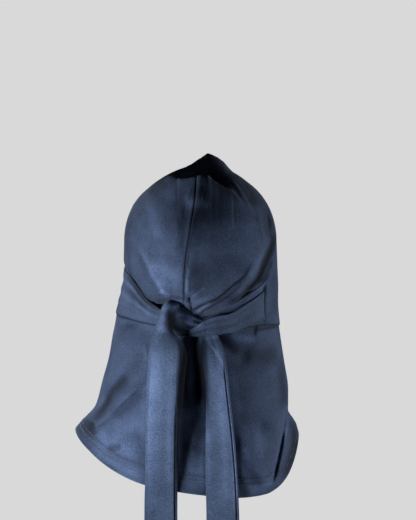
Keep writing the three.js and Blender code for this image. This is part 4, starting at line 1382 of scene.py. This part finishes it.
# Name, azimuth, elevation, distance, width, height and power. The front light is only there so
# that the front isn't black.
LIGHTS = (
    ("key", -57, -16, 0.8, 0.3, 0.2, 9.8),
    ("side", 88, -10, 0.8, 0.25, 0.3, 4.6),
    ("fill", 55, -20, 0.8, 0.25, 0.25, 0.8),
    ("front", 180, -4, 0.9, 0.35, 0.35, 5.0),
)


def make_light(name, azimuth, elevation, distance, width, height, power):
    """A soft area light. Azimuth 0 is the camera's side and positive is to the right."""
    data = bpy.data.lights.new(name, "AREA")
    data.shape = "RECTANGLE"
    data.size = width
    data.size_y = height
    data.energy = power
    light = add_object(name, data)
    a, e = math.radians(azimuth), math.radians(elevation)
    away = Vector((math.sin(a) * math.cos(e), -math.cos(a) * math.cos(e), math.sin(e)))
    light.location = LIGHTS_AIM + away * distance
    light.rotation_euler = (-away).to_track_quat("-Z", "Y").to_euler()
    light.visible_camera = False


PALE = 0.694
DULL = 0.1
STAGE_FLOOR = -1.9
STAGE_DEPTH = 2.6
STAGE_BEND = 1.2
STAGE_HALF_WIDTH = 6.0
STAGE_NEAR = -5.0
STAGE_TOP = 4.0


def make_stage():
    """A pale floor that curves up into a backdrop, even and without a shadow."""
    angles = np.linspace(0, math.pi / 2, 13)
    profile = [(STAGE_NEAR, STAGE_FLOOR)]
    for a in angles:
        y = STAGE_DEPTH + STAGE_BEND * math.sin(a)
        profile.append((y, STAGE_FLOOR + STAGE_BEND * (1 - math.cos(a))))
    profile.append((STAGE_DEPTH + STAGE_BEND, STAGE_TOP))
    points = [(x, y, z) for y, z in profile for x in (-STAGE_HALF_WIDTH, STAGE_HALF_WIDTH)]
    faces = [(2 * i, 2 * i + 1, 2 * i + 3, 2 * i + 2) for i in range(len(profile) - 1)]
    stage = mesh_object("stage", points, faces)
    material = bpy.data.materials.new("stage")
    material.use_nodes = True
    tree = material.node_tree
    tree.nodes.clear()
    seen = add_node(tree, "ShaderNodeEmission", {"Color": (PALE, PALE, PALE, 1)})
    dull = add_node(tree, "ShaderNodeBsdfDiffuse", {"Color": (DULL, DULL, DULL, 1)})
    rays = tree.nodes.new("ShaderNodeLightPath").outputs["Is Camera Ray"]
    inputs = {0: rays, 1: dull.outputs[0], 2: seen.outputs[0]}
    both = add_node(tree, "ShaderNodeMixShader", inputs)
    add_node(tree, "ShaderNodeOutputMaterial", {"Surface": both.outputs[0]})
    stage.data.materials.append(material)


AMBIENT = 0.02


def make_world():
    world = bpy.data.worlds.new("studio")
    world.use_nodes = True
    tree = world.node_tree
    back = tree.nodes["Background"]
    rays = tree.nodes.new("ShaderNodeLightPath")
    color = mix_color(tree, rays.outputs["Is Camera Ray"], (AMBIENT, AMBIENT, AMBIENT * 1.1, 1.0),
                      (PALE, PALE, PALE, 1.0))
    tree.links.new(color, back.inputs["Color"])
    bpy.context.scene.world = world


make_camera()
make_stage()
make_world()
for light in LIGHTS:
    make_light(*light)
bpy.context.scene.view_settings.view_transform = "Standard"

crown_left = finish_piece(crown_half("crown_left_cloth", -1), "crown_left", JERSEY)
crown_right = finish_piece(crown_half("crown_right_cloth", 1), "crown_right", JERSEY)
cape, stitches = neck_cape()
finish_piece(cape, "neck_cape", JERSEY)
finish_piece(stitches, "neck_cape", THREAD)
left_band = tie("tie_left_band", LEFT_BAND, LEFT_RUN, LEFT_TIE_FOLDS)
left_tie = finish_piece(left_band, "tie_left", TIE_JERSEY)
right_band = tie("tie_right_band", RIGHT_BAND, RIGHT_RUN)
right_tie = finish_piece(right_band, "tie_right", TIE_JERSEY)
